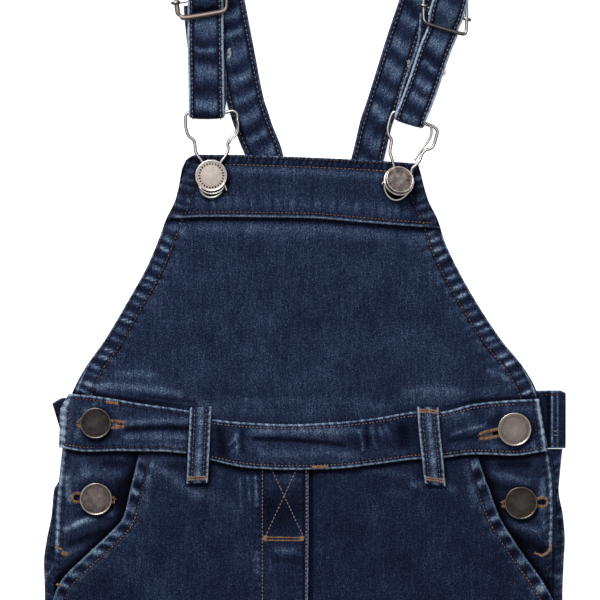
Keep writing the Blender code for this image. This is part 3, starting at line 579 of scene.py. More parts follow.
# Metal: patina is cloudy and gathers away from the rubbed places; the second number of a button's pattern
# coordinate is its radius
def makeMetal(name, bright, dull, roughness, rim=None, cloudy=0.6, paintedSideShade=None):
    made, tree, shader = newFinish(name, {"Metallic": 1.0})
    do = partial(calc, tree)
    place = addNode(tree, "ShaderNodeTexCoord").outputs["Object"]

    def noise(**settings):
        return addNode(tree, "ShaderNodeTexNoise", {"Vector": place, **settings}).outputs["Fac"]

    def spread(value, low, high, atLow=0.0, atHigh=1.0):
        return addNode(tree, "ShaderNodeMapRange", {"Value": value, "From Min": low, "From Max": high,
                                                    "To Min": atLow, "To Max": atHigh}).outputs[0]
    clouds, scratch = noise(Scale=380.0, Detail=5.0, Roughness=0.65), noise(Scale=2600.0, Detail=2.0)
    amount = do("MULTIPLY_ADD", do("SUBTRACT", clouds, 0.5), cloudy * 2.2, 0.5)
    rough = do("MULTIPLY_ADD", clouds, 0.35, roughness - 0.17)
    stops = [(0.15, dull), (0.85, bright)]
    if rim:  # where the rubbed rim starts and is full, and its colour
        start, full, rimColour = rim
        cloth = addNode(tree, "ShaderNodeUVMap", uv_map="cloth").outputs[0]
        radius = addNode(tree, "ShaderNodeSeparateXYZ", {0: cloth}).outputs[1]
        dip = spread(radius, 0.0, start * mm, 0.18, -0.24)
        amount = weighted(tree, (do("ADD", amount, dip), 0.7), (spread(radius, start * mm, full * mm), 0.6))
        stops = [(0.1, dull), (0.62, bright), (1.0, rimColour)]
    colour = ramp(tree, amount, stops)
    if paintedSideShade:  # painted shade and highlight: the sides of a wire, facing away from up, are painted dark and matt, and only its top keeps the bright metal
        paintedLit = spread(stored(tree, "paintedHighlight"), 0.84, 1.0)
        colour = addNode(tree, "ShaderNodeMix", {0: paintedLit, 6: (*paintedSideShade, 1.0), 7: colour}, data_type="RGBA").outputs[2]
        rough = do("ADD", rough, do("MULTIPLY_ADD", paintedLit, -0.32, 0.32))
    tree.links.new(rough, shader.inputs["Roughness"])
    dress(tree, shader, colour, scratch, 0.25, 0.00006)
    return made


denimFinish = makeDenim()
threadFinish = makeThread()
wireFinish = makeMetal("nickel wire", (0.86, 0.84, 0.81), (0.66, 0.64, 0.61), 0.26, paintedSideShade=(0.055, 0.052, 0.050))
barFinish = makeMetal("worn nickel bar", (0.42, 0.335, 0.305), (0.25, 0.195, 0.175), 0.55, paintedSideShade=(0.12, 0.10, 0.09))
print("finishes made")


# Where the buttons and belt loops lie, round which painted shade darkens the panels under them
buttonShape = {
    "radius": 8.75, "shank": 1.6, "segments": 80,
    # how far in from the rim, and how high above the head's underside
    "head": [(5.0, 0.0), (0.9, 0.0), (0.3, 0.14), (0.04, 0.45), (0.0, 0.8), (0.05, 1.2), (0.18, 1.46), (0.38, 1.56),
             (0.58, 1.50), (0.74, 1.36), (0.92, 1.26), (1.6, 1.27), (3.2, 1.36), (5.0, 1.46), (7.0, 1.53), (8.2, 1.55)],
    # a cap on a flange, with the wall between them
    "cap": [(5.0, 0.0), (0.9, 0.0), (0.25, 0.08), (0.0, 0.3), (0.05, 0.55), (0.28, 0.7), (0.62, 0.78), (0.82, 0.95),
            (0.86, 1.5), (0.88, 2.3), (0.95, 2.75), (1.15, 2.92), (1.4, 2.84), (1.7, 2.76), (3.2, 2.82), (5.0, 2.9),
            (7.0, 2.96), (8.2, 2.98)],
    # how far in the wall lies, which no hand rubs bright, and the cap's bright edge above it
    "wall": (0.45, 0.93), "brim": 1.45,
}
buttons = {
    # centre, foot, underside of the head, size, how far it leans and which way, finish, slot
    "waist_button_left": {"at": (-112.9, 25.4), "foot": 3.5, "head": 8.3, "size": 0.955, "look": "dark"},
    "waist_button_right": {"at": (112.9, 22.1), "foot": 3.5, "head": 8.3, "size": 1.03, "look": "pale"},
    "hip_button_left": {"at": (-112.9, -15.7), "foot": 3.0, "head": 5.2, "size": 1.0, "look": "grey"},
    "hip_button_right": {"at": (116.6, -17.8), "foot": 3.0, "head": 5.2, "size": 1.01, "look": "olive"},
    "bib_button_left": {"at": (-50.5, 158.8), "foot": 6.3, "head": 8.7, "size": 0.98, "look": "bright"},
    "bib_button_right": {"at": (50.5, 155.8), "foot": 6.3, "head": 10.6, "size": 0.955, "look": "umber",
                         "lean": 21.0, "way": 56.0, "form": "cap"},
}
loops = {
    # x, y, height and turn down the middle, from the foot to the top
    "left": [(-58.2, -7.0, 8.8, 3), (-57.9, -1.5, 8.9, 3), (-57.6, 3.6, 10.3, 3), (-57.2, 12, 10.5, 3),
             (-56.6, 24, 10.4, 3), (-56.3, 30, 10.3, 3), (-56.2, 34, 9.8, 3)],
    "right": [(70.4, -8.0, 8.2, -8), (69.6, -2.5, 8.2, -8), (69.0, 3.2, 10.5, -7), (68.0, 12, 10.6, -6),
              (66.8, 24, 10.6, -4), (66.4, 30, 10.5, -3), (66.2, 34, 9.9, -3)],
}
loopSize = {"width": 11.6, "thick": 1.6, "stitch": 2.7}


# painted shade: how much darker the cloth is painted close round the buttons and beside the loops, where their shadows
# fall
def paintedTrimShade(x, y):
    total = np.zeros(np.broadcast(x, y).shape)
    for data in buttons.values():
        away = np.hypot(x - data["at"][0] - 0.6, y - data["at"][1] + 0.9) - buttonShape["radius"] * data["size"]
        total -= 0.55 * np.exp(-np.maximum(away, 0.0) / 1.3)
    for rows in loops.values():
        middle, up = np.array(rows)[:, :2].T
        away = np.abs(x - np.interp(y, up, middle)) - 0.5 * loopSize["width"]
        total -= 0.42 * np.exp(-np.maximum(away, 0.0) / 1.1) * (y > up[0] - 1.6) * (y < up[-1] + 1.2)
    return total


# Bib
bib = {
    "sides": table("y left right middle edge", [
        # height, left edge, right edge, height of the cloth's back in the middle and at the edges
        (171, -63.5, 59.5, 2.7, 1.0), (162, -66.0, 62.0, 2.7, 1.0), (146, -70.0, 66.5, 3.1, 0.8),
        (135, -75.5, 72.0, 4.2, 0.8), (124, -79.5, 75.5, 4.4, 0.8), (108, -86.5, 83.0, 4.4, 0.8),
        (92, -95.5, 92.0, 3.4, 0.8), (70, -108.5, 106.5, 3.0, 1.2), (56, -118.0, 117.5, 3.2, 2.6),
        (42, -123.6, 124.2, 3.6, 3.7), (26, -127.6, 128.0, 3.6, 3.7), (14, -128.0, 128.5, 3.6, 3.7),
    ]),
    "foot": 26.0, "top": 142.0, "tuck": 7.0, "spacing": 1.25,
    "folds": [
        # from x, y to x, y, rise, width, bow, how much paler
        (-96, 48, 84, 46, 0.7, 10.0, 0.0, 0.02), (-60, 96, -10, 74, 0.5, 16.0, 0.0, 0.02),
        (66, 88, 22, 66, 0.5, 16.0, 0.0, 0.02),
        (-112, 46, -66, 41, 0.12, 2.6, 1.0, 0.34), (-104, 52, -80, 51, 0.10, 2.4, 0.6, 0.26),
        (52, 42, 86, 42, 0.12, 3.4, 0.8, 0.30), (98, 54, 112, 47, 0.15, 1.6, 0.8, 0.34),
        (-40, 37, 36, 37, 0.0, 3.0, 0.0, 0.16), (-90, 40.5, -58, 36.5, 0.0, 1.5, 0.0, -0.35),
    ],
}


def bibBack(x, y):  # over the straps in the middle, nearly on the floor at the edges
    left, right, middle, edge = curves(bib["sides"], "left right middle edge", y)
    share = np.abs(2.0 * (x - left) / (right - left) - 1.0)
    height = mix(middle, edge, smooth(0.55, 1.0, share))
    rise, _ = foldField(x, y, bib["folds"])
    return height + np.maximum(rise, 0.0) * fading(0.7, 1.0, share) * smooth(30, 50, y)


# the bib's front: its hems puff between two rows of stitches and pucker along them
def bibFront(x, y):
    sides = bib["sides"]
    fromLeft, fromRight = fromEdge(sides, "left", x, y, 1), fromEdge(sides, "right", x, y, -1)
    near = np.minimum(fromLeft, fromRight)
    run = np.where(fromLeft < fromRight, alongEdge(sides, "left", y), alongEdge(sides, "right", y) + 71.0)
    shown = smooth(36, 42, y) * fading(128, 134, y)
    hem = fading(8.6, 10.6, near) * shown
    pucker = roping(run, near, 5.6, 0.45, 1.0)
    band = smooth(0.0, 2.4, near) * fading(7.0, 9.0, near) * shown
    groove = (bump(near, 1.7, 0.55) + 1.2 * bump(near, 8.3, 0.7)) * shown
    outside = np.exp(-np.maximum(near - 9.0, 0.0) / 3.2) * (near > 9.0) * shown
    back = bibBack(x, y)
    front = back + clothThick["layer"] + clothThick["hem"] * hem
    front += pucker * (0.30 * band + 0.10 * outside) - 0.24 * groove
    _, rubAndPaintedLight = foldField(x, y, bib["folds"])
    seam, top = curve(bandEdges, "seam", x), curve(waist["band"], "top", x)
    # painted shade: the dark lines just under the top band's seam and just above the waistband's top edge, where those
    # edges shade the bib
    wearAndPaintedLight = rubAndPaintedLight + 0.27 * bump(y, seam - 6.0, 3.4) * (0.8 + 0.35 * waver(x, 22.0, 2.0)) - 0.60 * bump(y, seam - 1.4, 1.1)
    wearAndPaintedLight += 0.12 * bump(y, top + 6.0, 3.0) * (1.0 + waver(x, 31.0, 4.0)) - 0.65 * bump(y, top + 0.9, 1.1)
    wearAndPaintedLight += hem * (1.05 * np.maximum(pucker, 0) * band - 0.42 * np.maximum(-pucker, 0))
    wearAndPaintedLight += 0.80 * bump(near, 0.3, 0.6) * shown + outside * (0.20 + 0.30 * pucker) - 0.40 * groove
    return back, front, wearAndPaintedLight + paintedTrimShade(x, y) * (y > 130)


bandEdges = table("x seam top", [
    (-76, 136.0, 158.0), (-67, 136.1, 162.0), (-65.6, 136.2, 165.4), (-64.4, 136.2, 167.5), (-62, 136.3, 169.4),
    (-58.5, 136.5, 170.5), (-52, 136.6, 170.5), (0, 136.0, 169.0),
    (34, 133.4, 167.4), (60, 131.4, 165.8), (73, 130.6, 164.6),
])


# the top band's front: roped along the top and at its ends, with a folded pale seam below
def bandFront(x, y):
    seam, top = curves(bandEdges, "seam top", x)
    low, high = y - seam, top - y
    ends = np.minimum(fromEdge(bib["sides"], "left", x, y, 1), fromEdge(bib["sides"], "right", x, y, -1))
    back = bibBack(x, y) + clothThick["layer"] + clothThick["gap"]
    topRope, seamRope = ropedEdge(x, high, 3.3, 0.35, 5.0, 3.2, 5.4), roping(x, low, 4.4, 0.35, 2.0)
    sideRope = ropedEdge(y, ends, 4.6, 0.3, 8.0, 7.0, 9.5)
    groove = bump(high, 5.4, 0.6) + bump(low, 2.6, 0.6) + bump(high, 1.2, 0.5) + 0.9 * bump(ends, 8.0, 0.7)
    front = back + clothThick["doubled"] + 0.25 * np.sin(math.pi * np.clip(low / np.maximum(top - seam, 1), 0, 1))
    front += 0.13 * topRope + 0.12 * seamRope * fading(3.0, 6.5, low) + 0.22 * sideRope - 0.22 * groove
    wearAndPaintedLight = -0.04 + 0.80 * bump(low, 0.3, 0.75) + 0.16 * bump(low, 1.6, 0.8) * seamRope - 0.40 * groove
    wearAndPaintedLight += 0.46 * topRope - 0.16 * fading(3.2, 5.4, high) + 0.50 * bump(high, 0.1, 0.6)
    wearAndPaintedLight += 0.30 * bump(high, 8.0, 2.4) + 0.34 * bump(low, 8.0, 3.6) * (0.45 + 0.75 * waver(x, 7.0, 1.0))
    wearAndPaintedLight += 0.55 * sideRope - 0.06 * fading(7.0, 9.5, ends)
    return back, front, wearAndPaintedLight + paintedTrimShade(x, y)


def makeBib():
    sides, foot, top, spacing = bib["sides"], bib["foot"], bib["top"], bib["spacing"]
    low = rungs(foot, (35.0, top, spacing), top)
    x = acrossGrid(*curves(sides, "left right", low), spacing)
    tucked = curve(waist["band"], "top", x) - bib["tuck"]
    y = low + (tucked - foot) * fading(foot, foot + 36.0, low)
    shell("front_bib", x, y, bibFront(x, y))


def makeBand():
    left, right = -74.4, 71.7
    shares = acrossGrid(left, right, 1.0)[0]
    levels = np.array([0.0, 0.035, 0.07, 0.11, *np.linspace(0.15, 0.85, 20), 0.89, 0.93, 0.965, 1.0])[:, None]
    height = mix(*curves(bandEdges, "seam top", shares), levels)
    share = (shares - left) / (right - left)
    x = mix(*curves(bib["sides"], "left right", height), share)
    y = mix(*curves(bandEdges, "seam top", x), levels)
    shell("bib_top_band", x, y, bandFront(x, y), 0.7)


# Waistband
waist = {
    "band": table("x bottom top back", [
        # place, lower edge, upper edge, height of its back above the floor
        (-132.0, 12.0, 41.4, 5.3), (-117.0, 9.8, 40.3, 5.3), (-100.0, 10.3, 37.9, 5.6), (-94.0, 10.2, 36.9, 6.5),
        (-88.0, 10.2, 35.9, 7.0), (-80.0, 10.1, 34.8, 7.1), (-61.5, 8.6, 31.9, 7.1), (-49.0, 4.9, 27.5, 6.6),
        (-30.0, 1.1, 25.6, 5.6), (-8.0, 0.1, 24.8, 5.7), (15.0, 0.6, 25.8, 5.4), (40.0, 3.3, 28.4, 5.6),
        (60.5, 5.9, 31.6, 7.0), (72.0, 6.4, 31.6, 7.1), (91.0, 8.5, 35.8, 7.0), (97.0, 8.4, 36.6, 6.5),
        (103.0, 8.1, 37.1, 5.6), (112.0, 7.7, 37.7, 5.3), (131.0, 10.3, 38.5, 5.3),
    ]),
    "ends": (-133.0, 131.0),
    "skew": {-1: 1.0, 1: -4.6},  # how far the top of each end leans from the bottom of it
    "corner": 4.6,  # how far the left end's top corner is cut back
    "folds": [
        (-97, 21.8, -61, 22.4, -0.75, 1.5, 0.6, -0.62), (-99, 25.6, -62, 26.6, 0.25, 2.2, 0.5, 0.30),
        (-99, 17.6, -62, 17.6, 0.25, 2.4, 0.5, 0.26), (-28, 16.8, 22, 13.4, -0.6, 1.3, 0.8, -0.55),
        (-30, 21.4, 44, 21.0, 0.3, 3.2, 0.0, 0.30), (-26, 9.0, 30, 8.6, 0.2, 2.8, 0.0, 0.18),
        (78, 18.6, 97, 24.0, 0.35, 1.2, 0.8, 0.36), (76, 15.6, 98, 19.0, -0.4, 1.8, 0.0, -0.34),
        (28, 22.0, 31, 10.0, 0.35, 1.0, 1.2, 0.46), (36, 24.0, 38.5, 12.0, 0.3, 1.0, -0.8, 0.34),
        (43, 24.5, 46, 16.0, 0.3, 1.1, 0.6, 0.32), (33, 24.0, 34, 12.0, -0.3, 1.2, 0.0, -0.30),
        (52, 26, 53, 12, -0.3, 3.5, 0.0, -0.34), (-46, 24, -44, 6, -0.35, 3.4, 0.0, -0.42),
        (-38, 20, -36.5, 8, 0.2, 0.9, 0.6, 0.30), (-34, 22, -33, 9, -0.2, 1.6, 0.0, -0.28),
        (-120, 31, -110, 37, 0.1, 2.6, 0.0, 0.24), (-124, 16, -118, 34, 0.1, 2.0, 0.0, 0.26),
        (-96, 13.5, -62, 12.5, 0.1, 2.0, 0.0, 0.20), (98, 30, 124, 34, 0.1, 2.6, 0.0, 0.16),
        (96, 12.5, 126, 13.5, 0.1, 2.4, 0.0, 0.20), (60, 27, 90, 31, 0.1, 2.4, 0.0, 0.14),
        (24, 19, 62, 21, 0.0, 11.0, 0.0, -0.26), (40, 23, 41.5, 15, 0.2, 0.9, 0.5, 0.30),
        (-42, 13, -36, 20, 0.2, 1.0, -0.6, 0.34), (-40, 9, -34, 14, 0.2, 0.9, 0.4, 0.28),
        (100, 24, 106, 33, 0.0, 3.0, 0.0, -0.2),
    ],
}


def waistLean(place, level):  # how far the ends' slant moves a place
    lean = np.where(place < 0, waist["skew"][-1], waist["skew"][1]) * smooth(95, 131, np.abs(place))
    return level * lean + waist["corner"] * smooth(-122, -133, place) * smooth(0.66, 1.06, level)


# by place along and share across the band: folded edges, a row of stitches inside each, puckers and folds
def waistSheet(place, level):
    band = waist["band"]
    low, high = curves(band, "bottom top", place)
    x, y = place + waistLean(place, level), mix(low, high, level)
    below, above = level * (high - low), (1 - level) * (high - low)
    leftEnd, rightEnd = place - waist["ends"][0], waist["ends"][1] - place
    fromEnds = np.minimum(leftEnd, rightEnd)
    rise, rubAndPaintedLight = foldField(x, y, waist["folds"])
    endRope = roping(y, fromEnds, 4.0, 0.3, 4.0)
    rope = ropedEdge(x, below, 3.9, 0.4, 3.0, 1.6, 5.0) + ropedEdge(x, above, 4.3, -0.4, 6.0, 1.6, 5.0)
    rope += endRope * fading(2.0, 6.5, fromEnds)
    groove = bump(below, 2.3, 0.55) + bump(above, 2.3, 0.55) + bump(fromEnds, 4.4, 0.6)
    back = curve(band, "back", x)
    front = back + clothThick["doubled"] + 0.25 * np.sin(math.pi * level) + rise - 0.22 * groove + 0.16 * rope
    wearAndPaintedLight = 0.02 + 1.25 * rubAndPaintedLight + 0.86 * bump(below, 0.2, 0.8) + 0.66 * bump(above, 0.2, 0.7) + 0.34 * rope - 0.42 * groove
    wearAndPaintedLight += (0.86 + 0.16 * endRope) * bump(leftEnd, 1.6, 2.8) + 1.0 * bump(rightEnd, 1.0, 1.3)
    wearAndPaintedLight += 0.16 * waver(x, 37.0, 2.0) * waver(y, 23.0, 1.0) + paintedTrimShade(x, y)
    return x, y, back, front, wearAndPaintedLight


def onWaist(place, level):  # the surface for sewing on the band
    x, y, _, front, _ = waistSheet(place, level)
    return facing(joined(x, y, front))


def makeWaistband():
    level = np.array([0.0, 0.04, 0.07, 0.10, 0.13, *np.linspace(0.165, 0.835, 21), 0.87, 0.90, 0.93, 0.96, 1.0])
    x, y, *sheet = waistSheet(acrossGrid(*waist["ends"], 0.95), level[:, None])
    shell("front_waistband", x, y, sheet, 0.8)


# Legs
legs = {
    "front": table("y left right leftInner rightInner seam outer crown", [
        # height, outer edges, inner edges, height of the back at the inner and outer edge and its rise between
        (17, 88.0, 91.0, 2.0, -6.0, 2.2, 5.3, 0.3), (7, 90.2, 93.5, 2.0, -6.0, 2.2, 5.3, 0.3),
        (-13, 95.0, 100.5, 2.0, -6.0, 2.2, 5.3, 0.4), (-25, 98.0, 105.0, 2.0, -6.0, 2.2, 5.7, 0.5),
        (-36, 107.5, 111.5, 2.0, -6.0, 2.2, 6.0, 0.6), (-45, 117.2, 117.6, 1.9, -6.0, 2.2, 5.7, 0.7),
        (-62, 133.0, 129.5, 1.8, -6.0, 2.2, 4.7, 0.8), (-72, 136.4, 134.5, 1.7, -6.0, 2.2, 3.4, 1.0),
        (-90, 137.0, 136.0, 1.6, -6.0, 2.0, 1.8, 1.4), (-125, 138.5, 138.0, 1.4, -6.0, 2.0, 1.6, 1.8),
        (-150, 139.5, 139.0, 0.6, -4.0, 1.8, 1.6, 2.0), (-154, 139.5, 139.1, 0.2, -2.0, 1.7, 1.6, 2.0),
        (-158, 139.5, 139.2, -0.4, 0.4, 1.7, 1.6, 2.0), (-168, 139.4, 139.2, -5.0, 5.0, 1.6, 1.6, 2.0),
        (-195, 138.5, 138.5, -11.0, 11.0, 1.6, 1.6, 2.0), (-250, 135.5, 136.0, -16.0, 16.0, 1.6, 1.6, 2.2),
        (-330, 132.0, 133.0, -20.0, 20.0, 1.6, 1.6, 2.0), (-430, 130.5, 131.5, -22.0, 22.0, 1.6, 1.6, 1.6),
        (-510, 130.0, 131.0, -22.0, 22.0, 2.2, 2.2, 1.2), (-530, 130.0, 131.0, -22.0, 22.0, 2.4, 2.4, 0.8),
    ]),
    "back": table("y left right inner", [
        (11.2, 131.5, 139.5, 0.15), (-4, 132.5, 138.0, 0.15), (-11, 136.0, 137.5, 0.15), (-25, 137.4, 139.8, 0.15),
        (-38, 140.0, 140.8, 0.15), (-50, 141.5, 140.2, 0.15), (-70, 141.0, 139.5, 0.15), (-125, 143.0, 142.0, 0.15),
        (-158, 144.0, 144.0, 0.15), (-168, 144.0, 144.0, 4.0), (-195, 143.0, 143.2, 10.0),
        (-250, 139.5, 140.5, 15.0), (-330, 135.5, 136.5, 19.0), (-430, 134.0, 135.0, 21.0),
        (-510, 133.5, 134.5, 21.0), (-530, 133.5, 134.5, 21.0),
    ]),
    "backFolds": [
        (131, -17.6, 144, -15.2, 0.0, 0.8, 0.0, 0.42), (131, -21.4, 144, -20.0, 0.0, 1.8, 0.0, -0.45),
        (131, -26.8, 144, -24.4, 0.0, 0.8, 0.0, 0.50), (136.0, -27.0, 136.2, -43.0, 0.0, 0.7, 0.0, 0.50),
        (138.4, -28.0, 138.8, -46.0, 0.0, 1.0, 0.0, -0.4), (-141, -18, -133, -30, 0.0, 2.2, 0.0, -0.4),
        (-143, -62, -135, -50, 0.0, 1.0, 0.0, 0.40), (133, -56, 141, -60, 0.0, 1.6, 0.0, 0.3),
    ],
    "mouthStitch": 6.2, "hemDepth": 18.0, "hemStitch": 16.0,
    "folds": [
        (-84, 4, -56, -16, 0.9, 4.0, 0.6, 0.26), (-52, -16, -14, -52, -0.5, 16.0, 0.0, 0.0),
        (-96, -48, -60, -82, 0.7, 12.0, 0.0, 0.04), (60, -20, 88, -78, 0.6, 14.0, 0.0, 0.02),
        (24, -14, 52, -40, 0.5, 12.0, 0.0, 0.03), (-110, -150, -30, -176, 0.9, 14.0, 3.0, 0.10),
        (110, -146, 34, -180, 0.9, 14.0, -3.0, 0.10), (-120, -200, -60, -290, 0.7, 20.0, 4.0, 0.06),
        (118, -210, 62, -300, 0.7, 20.0, -4.0, 0.06), (-114, -322, -44, -342, 0.9, 12.0, 2.0, 0.14),
        (112, -332, 46, -318, 0.9, 12.0, 2.0, 0.14), (-112, -356, -52, -350, 0.6, 10.0, 1.0, 0.12),
        (108, -362, 50, -354, 0.6, 10.0, 1.0, 0.12), (-100, -480, -46, -472, 0.6, 12.0, 0.0, 0.08),
        (104, -470, 52, -482, 0.6, 12.0, 0.0, 0.08),
        (-60, -10, -34, -22, 0.1, 4.0, 0.0, 0.12),
        (-27, -3, -25.8, -20, 0.15, 1.1, 0.0, 0.50), (-31, -3, -30, -17, 0.1, 1.0, 0.0, 0.34),
        (-35.5, -4, -34, -24, 0.1, 1.2, 0.0, 0.26), (-26, -44, -25.5, -58, 0.1, 1.6, 0.0, 0.30),
        (56, -8, 82, -11, 0.15, 3.0, 1.5, 0.32), (44, -12, 58, -14, 0.0, 3.0, 0.0, 0.14),
        (88, -2, 92, -20, 0.1, 2.0, 0.0, 0.26), (-84, -2, -86, -22, 0.1, 2.0, 0.0, 0.26),
        (30, 0, 60, -3, 0.0, 2.0, 0.0, 0.20), (4, -2, 24, -3, 0.0, 2.0, 0.0, 0.16),
        (-80, 3, -62, 1, 0.0, 2.0, 0.0, -0.2), (-17, -3, -2, -6, 0.0, 4.5, 0.0, 0.16),
        (-25, -22, 2, -22, 0.0, 13.0, 0.0, -0.36),
        (-17, -43.5, -4, -43.5, 0.1, 2.2, 0.0, 0.32), (-18, -48.5, -4, -48.5, 0.0, 1.8, 0.0, -0.2),
    ],
}


def legEdges(y, side):  # a front leg's outer and inner edge
    name = sideNames[side]
    return side * curve(legs["front"], name, y), curve(legs["front"], name + "Inner", y)


# height of a front leg's back: from the centre seam out over the side panel, then down to the side
def legBack(x, y, side):
    outer, inner = legEdges(y, side)
    share = np.clip((x - inner) / (outer - inner), 0.0, 1.0)
    low, high, crown = curves(legs["front"], "seam outer crown", y)
    height = mix(low, high, smooth(0.3, 0.7, share)) + 4.0 * share * (1.0 - share) * crown
    rise, _ = foldField(x, y, legs["folds"])
    height = height + np.maximum(rise, -0.5) * smooth(0.0, 0.2, share) * fading(0.85, 1.0, share)
    if side < 0:
        lap = clothThick["layer"] + clothThick["gap"] + 0.5
        height = height + lap * smooth(-14, -9, x) * smooth(-crotchDepth - 4.0, -crotchDepth + 1.0, y)
    return height


def footHem(x, foot, seed):  # how far a leg's foot is turned up, and its puckers
    turned = fading(legs["hemDepth"] - 1.2, legs["hemDepth"] + 0.8, foot)
    return turned, ropedEdge(x, foot, 6.4, 0.7, seed, 12.0, 19.0)


# a front leg: the pocket's hem puffs and puckers, the centre seam is folded and stitched, the foot is hemmed
def legFront(side):
    front, name, stitch = legs["front"], sideNames[side], legs["mouthStitch"]

    def sheet(x, y):
        fromMouth = np.abs(fromEdge(front, name, side * x, y, -1))
        fromInner, run, foot = np.abs(x - legEdges(y, side)[1]), alongEdge(front, name, y), y + legLength
        mouth = smooth(-78, -66, y) * fading(2, 9, y)
        hem = fading(8.0, 9.6, fromMouth) * mouth
        turned, footRope = footHem(x, foot, 3.0 + side)
        pucker = roping(run, fromMouth, 8.2 if side < 0 else 9.5, 0.5, 2.0 if side < 0 else 5.5)
        band = smooth(0.2, 2.2, fromMouth) * fading(4.6, 6.4, fromMouth) * mouth
        outside = np.exp(-np.maximum(fromMouth - stitch, 0) / 3.0) * (fromMouth > stitch) * mouth
        groove, footGroove = bump(fromMouth, stitch, 0.6) * mouth, bump(foot, legs["hemStitch"], 0.6)
        seamRope = ropedEdge(run, fromMouth, 5.0, 0.3, 7.0, 2.0, 7.0) * (1 - mouth)
        inseam = fading(3.0, 8.0, fromInner) * fading(-crotchDepth - 6, -crotchDepth + 4, y)
        inRope = roping(run, fromInner, 5.6, 0.3, 9.0 + side) * inseam
        back = legBack(x, y, side)
        top = back + clothThick["layer"] + clothThick["hem"] * np.maximum(hem, turned)
        top += 0.28 * pucker * band - 0.26 * groove + 0.06 * pucker * outside
        top += 0.10 * seamRope + 0.16 * footRope - 0.2 * footGroove + 0.10 * inRope
        _, rubAndPaintedLight = foldField(x, y, legs["folds"])
        wearAndPaintedLight = (-0.06 if side < 0 else -0.11) + 1.2 * rubAndPaintedLight + 0.66 * bump(fromMouth, 0.4, 0.8) * mouth + 0.10 * hem
        wearAndPaintedLight += band * 0.84 * pucker - 0.50 * groove + outside * (0.18 + 0.26 * pucker)
        # painted shade round the buttons and loops, and a dark line painted just below the waistband's lower edge
        wearAndPaintedLight += paintedTrimShade(x, y) * mouth - 0.60 * bump(y, curve(waist["band"], "bottom", x) - 0.9, 1.2)
        wearAndPaintedLight += 0.20 * seamRope + 0.26 * footRope - 0.2 * footGroove + 0.4 * bump(foot, 0.2, 0.9) + 0.20 * inRope
        wearAndPaintedLight += 0.10 * inseam + 0.10 * fading(2.0, 9.0, fromMouth) * (1 - mouth)
        fade = bump(x, side * 78, 30) * smooth(-420, -300, y) * fading(-150, -90, y)
        wearAndPaintedLight += 0.20 * fade * (0.8 + 0.3 * waver(y, 60, 1.0 + side))
        centre = smooth(-crotchDepth, -crotchDepth + 8, y)
        if side < 0:  # the mock fly
            stitched = bump(x, -0.6, 0.6) + bump(x, -23.0, 0.6)
            flyRope = roping(y, x, 3.6, 0.2, 6.0)
            box = smooth(-24.6, -22.6, x) * smooth(-crotchDepth + 6, -crotchDepth + 22, y)
            top += 0.5 * box * fading(-13, -8, x) - 0.18 * stitched * box
            top += 0.08 * flyRope * (bump(x, -1.5, 2.0) + bump(x, -22.5, 1.8)) * box
            wearAndPaintedLight += 0.26 * flyRope * (bump(x, -2.6, 1.4) + bump(x, -25.5, 2.0)) - 0.46 * stitched * box
            wearAndPaintedLight += 0.74 * bump(fromInner, 0.2, 0.7) * centre
        else:
            # painted shade beside the mock fly's folded edge
            wearAndPaintedLight -= 0.55 * bump(x, curve(front, "leftInner", y) + 1.4, 1.1) * centre
        return back, top, wearAndPaintedLight
    return sheet


# a back leg, which lies on the floor: its side seam and hem show past the front
def backLegSheet(side):
    columns, name = legs["back"], sideNames[side]

    def sheet(x, y):
        fromSide = fromEdge(columns, name, side * x, y, -1)
        run, foot = alongEdge(columns, name, y), y + legLength
        rope = ropedEdge(run, fromSide, 5.2, 0.4, 4.0 + side, 2.0, 7.0)
        turned, footRope = footHem(x, foot, 6.0 + side)
        top = clothThick["layer"] + 0.6 * turned + 0.05 * rope + 0.1 * footRope
        wearAndPaintedLight = -0.08 + foldField(x, y, legs["backFolds"])[1] + 0.34 * rope + 0.26 * footRope
        wearAndPaintedLight += 0.34 * bump(fromSide, 0.2, 0.9)
        wearAndPaintedLight += 0.14 * waver(run, 14.0, 2.0 + side) * fading(3.0, 14.0, fromSide)
        return np.zeros_like(top), top, wearAndPaintedLight
    return sheet


frontSheets = {side: legFront(side) for side in (-1, 1)}


def makeLegs(side):
    name = sideNames[side]
    heights = rungs(-530.0, -528.8, (-527.6, -505.0, 1.5), (-505.0, -180.0, 3.0), (-180.0, -84.0, 2.0),
                    (-84.0, 16.0, 1.15), 17.0)
    makePanel("front_leg_" + name, heights, legEdges(heights, side), 1.6, frontSheets[side])
    heights = rungs(-530.0, -528.8, (-527.0, -505.0, 2.5), (-505.0, -90.0, 5.0), (-90.0, -60.0, 1.5),
                    (-60.0, 10.4, 0.8), 11.2)
    edges = [side * edge for edge in curves(legs["back"], name + " inner", heights)]
    makePanel("back_leg_" + name, heights, edges, 5.0, backLegSheet(side))


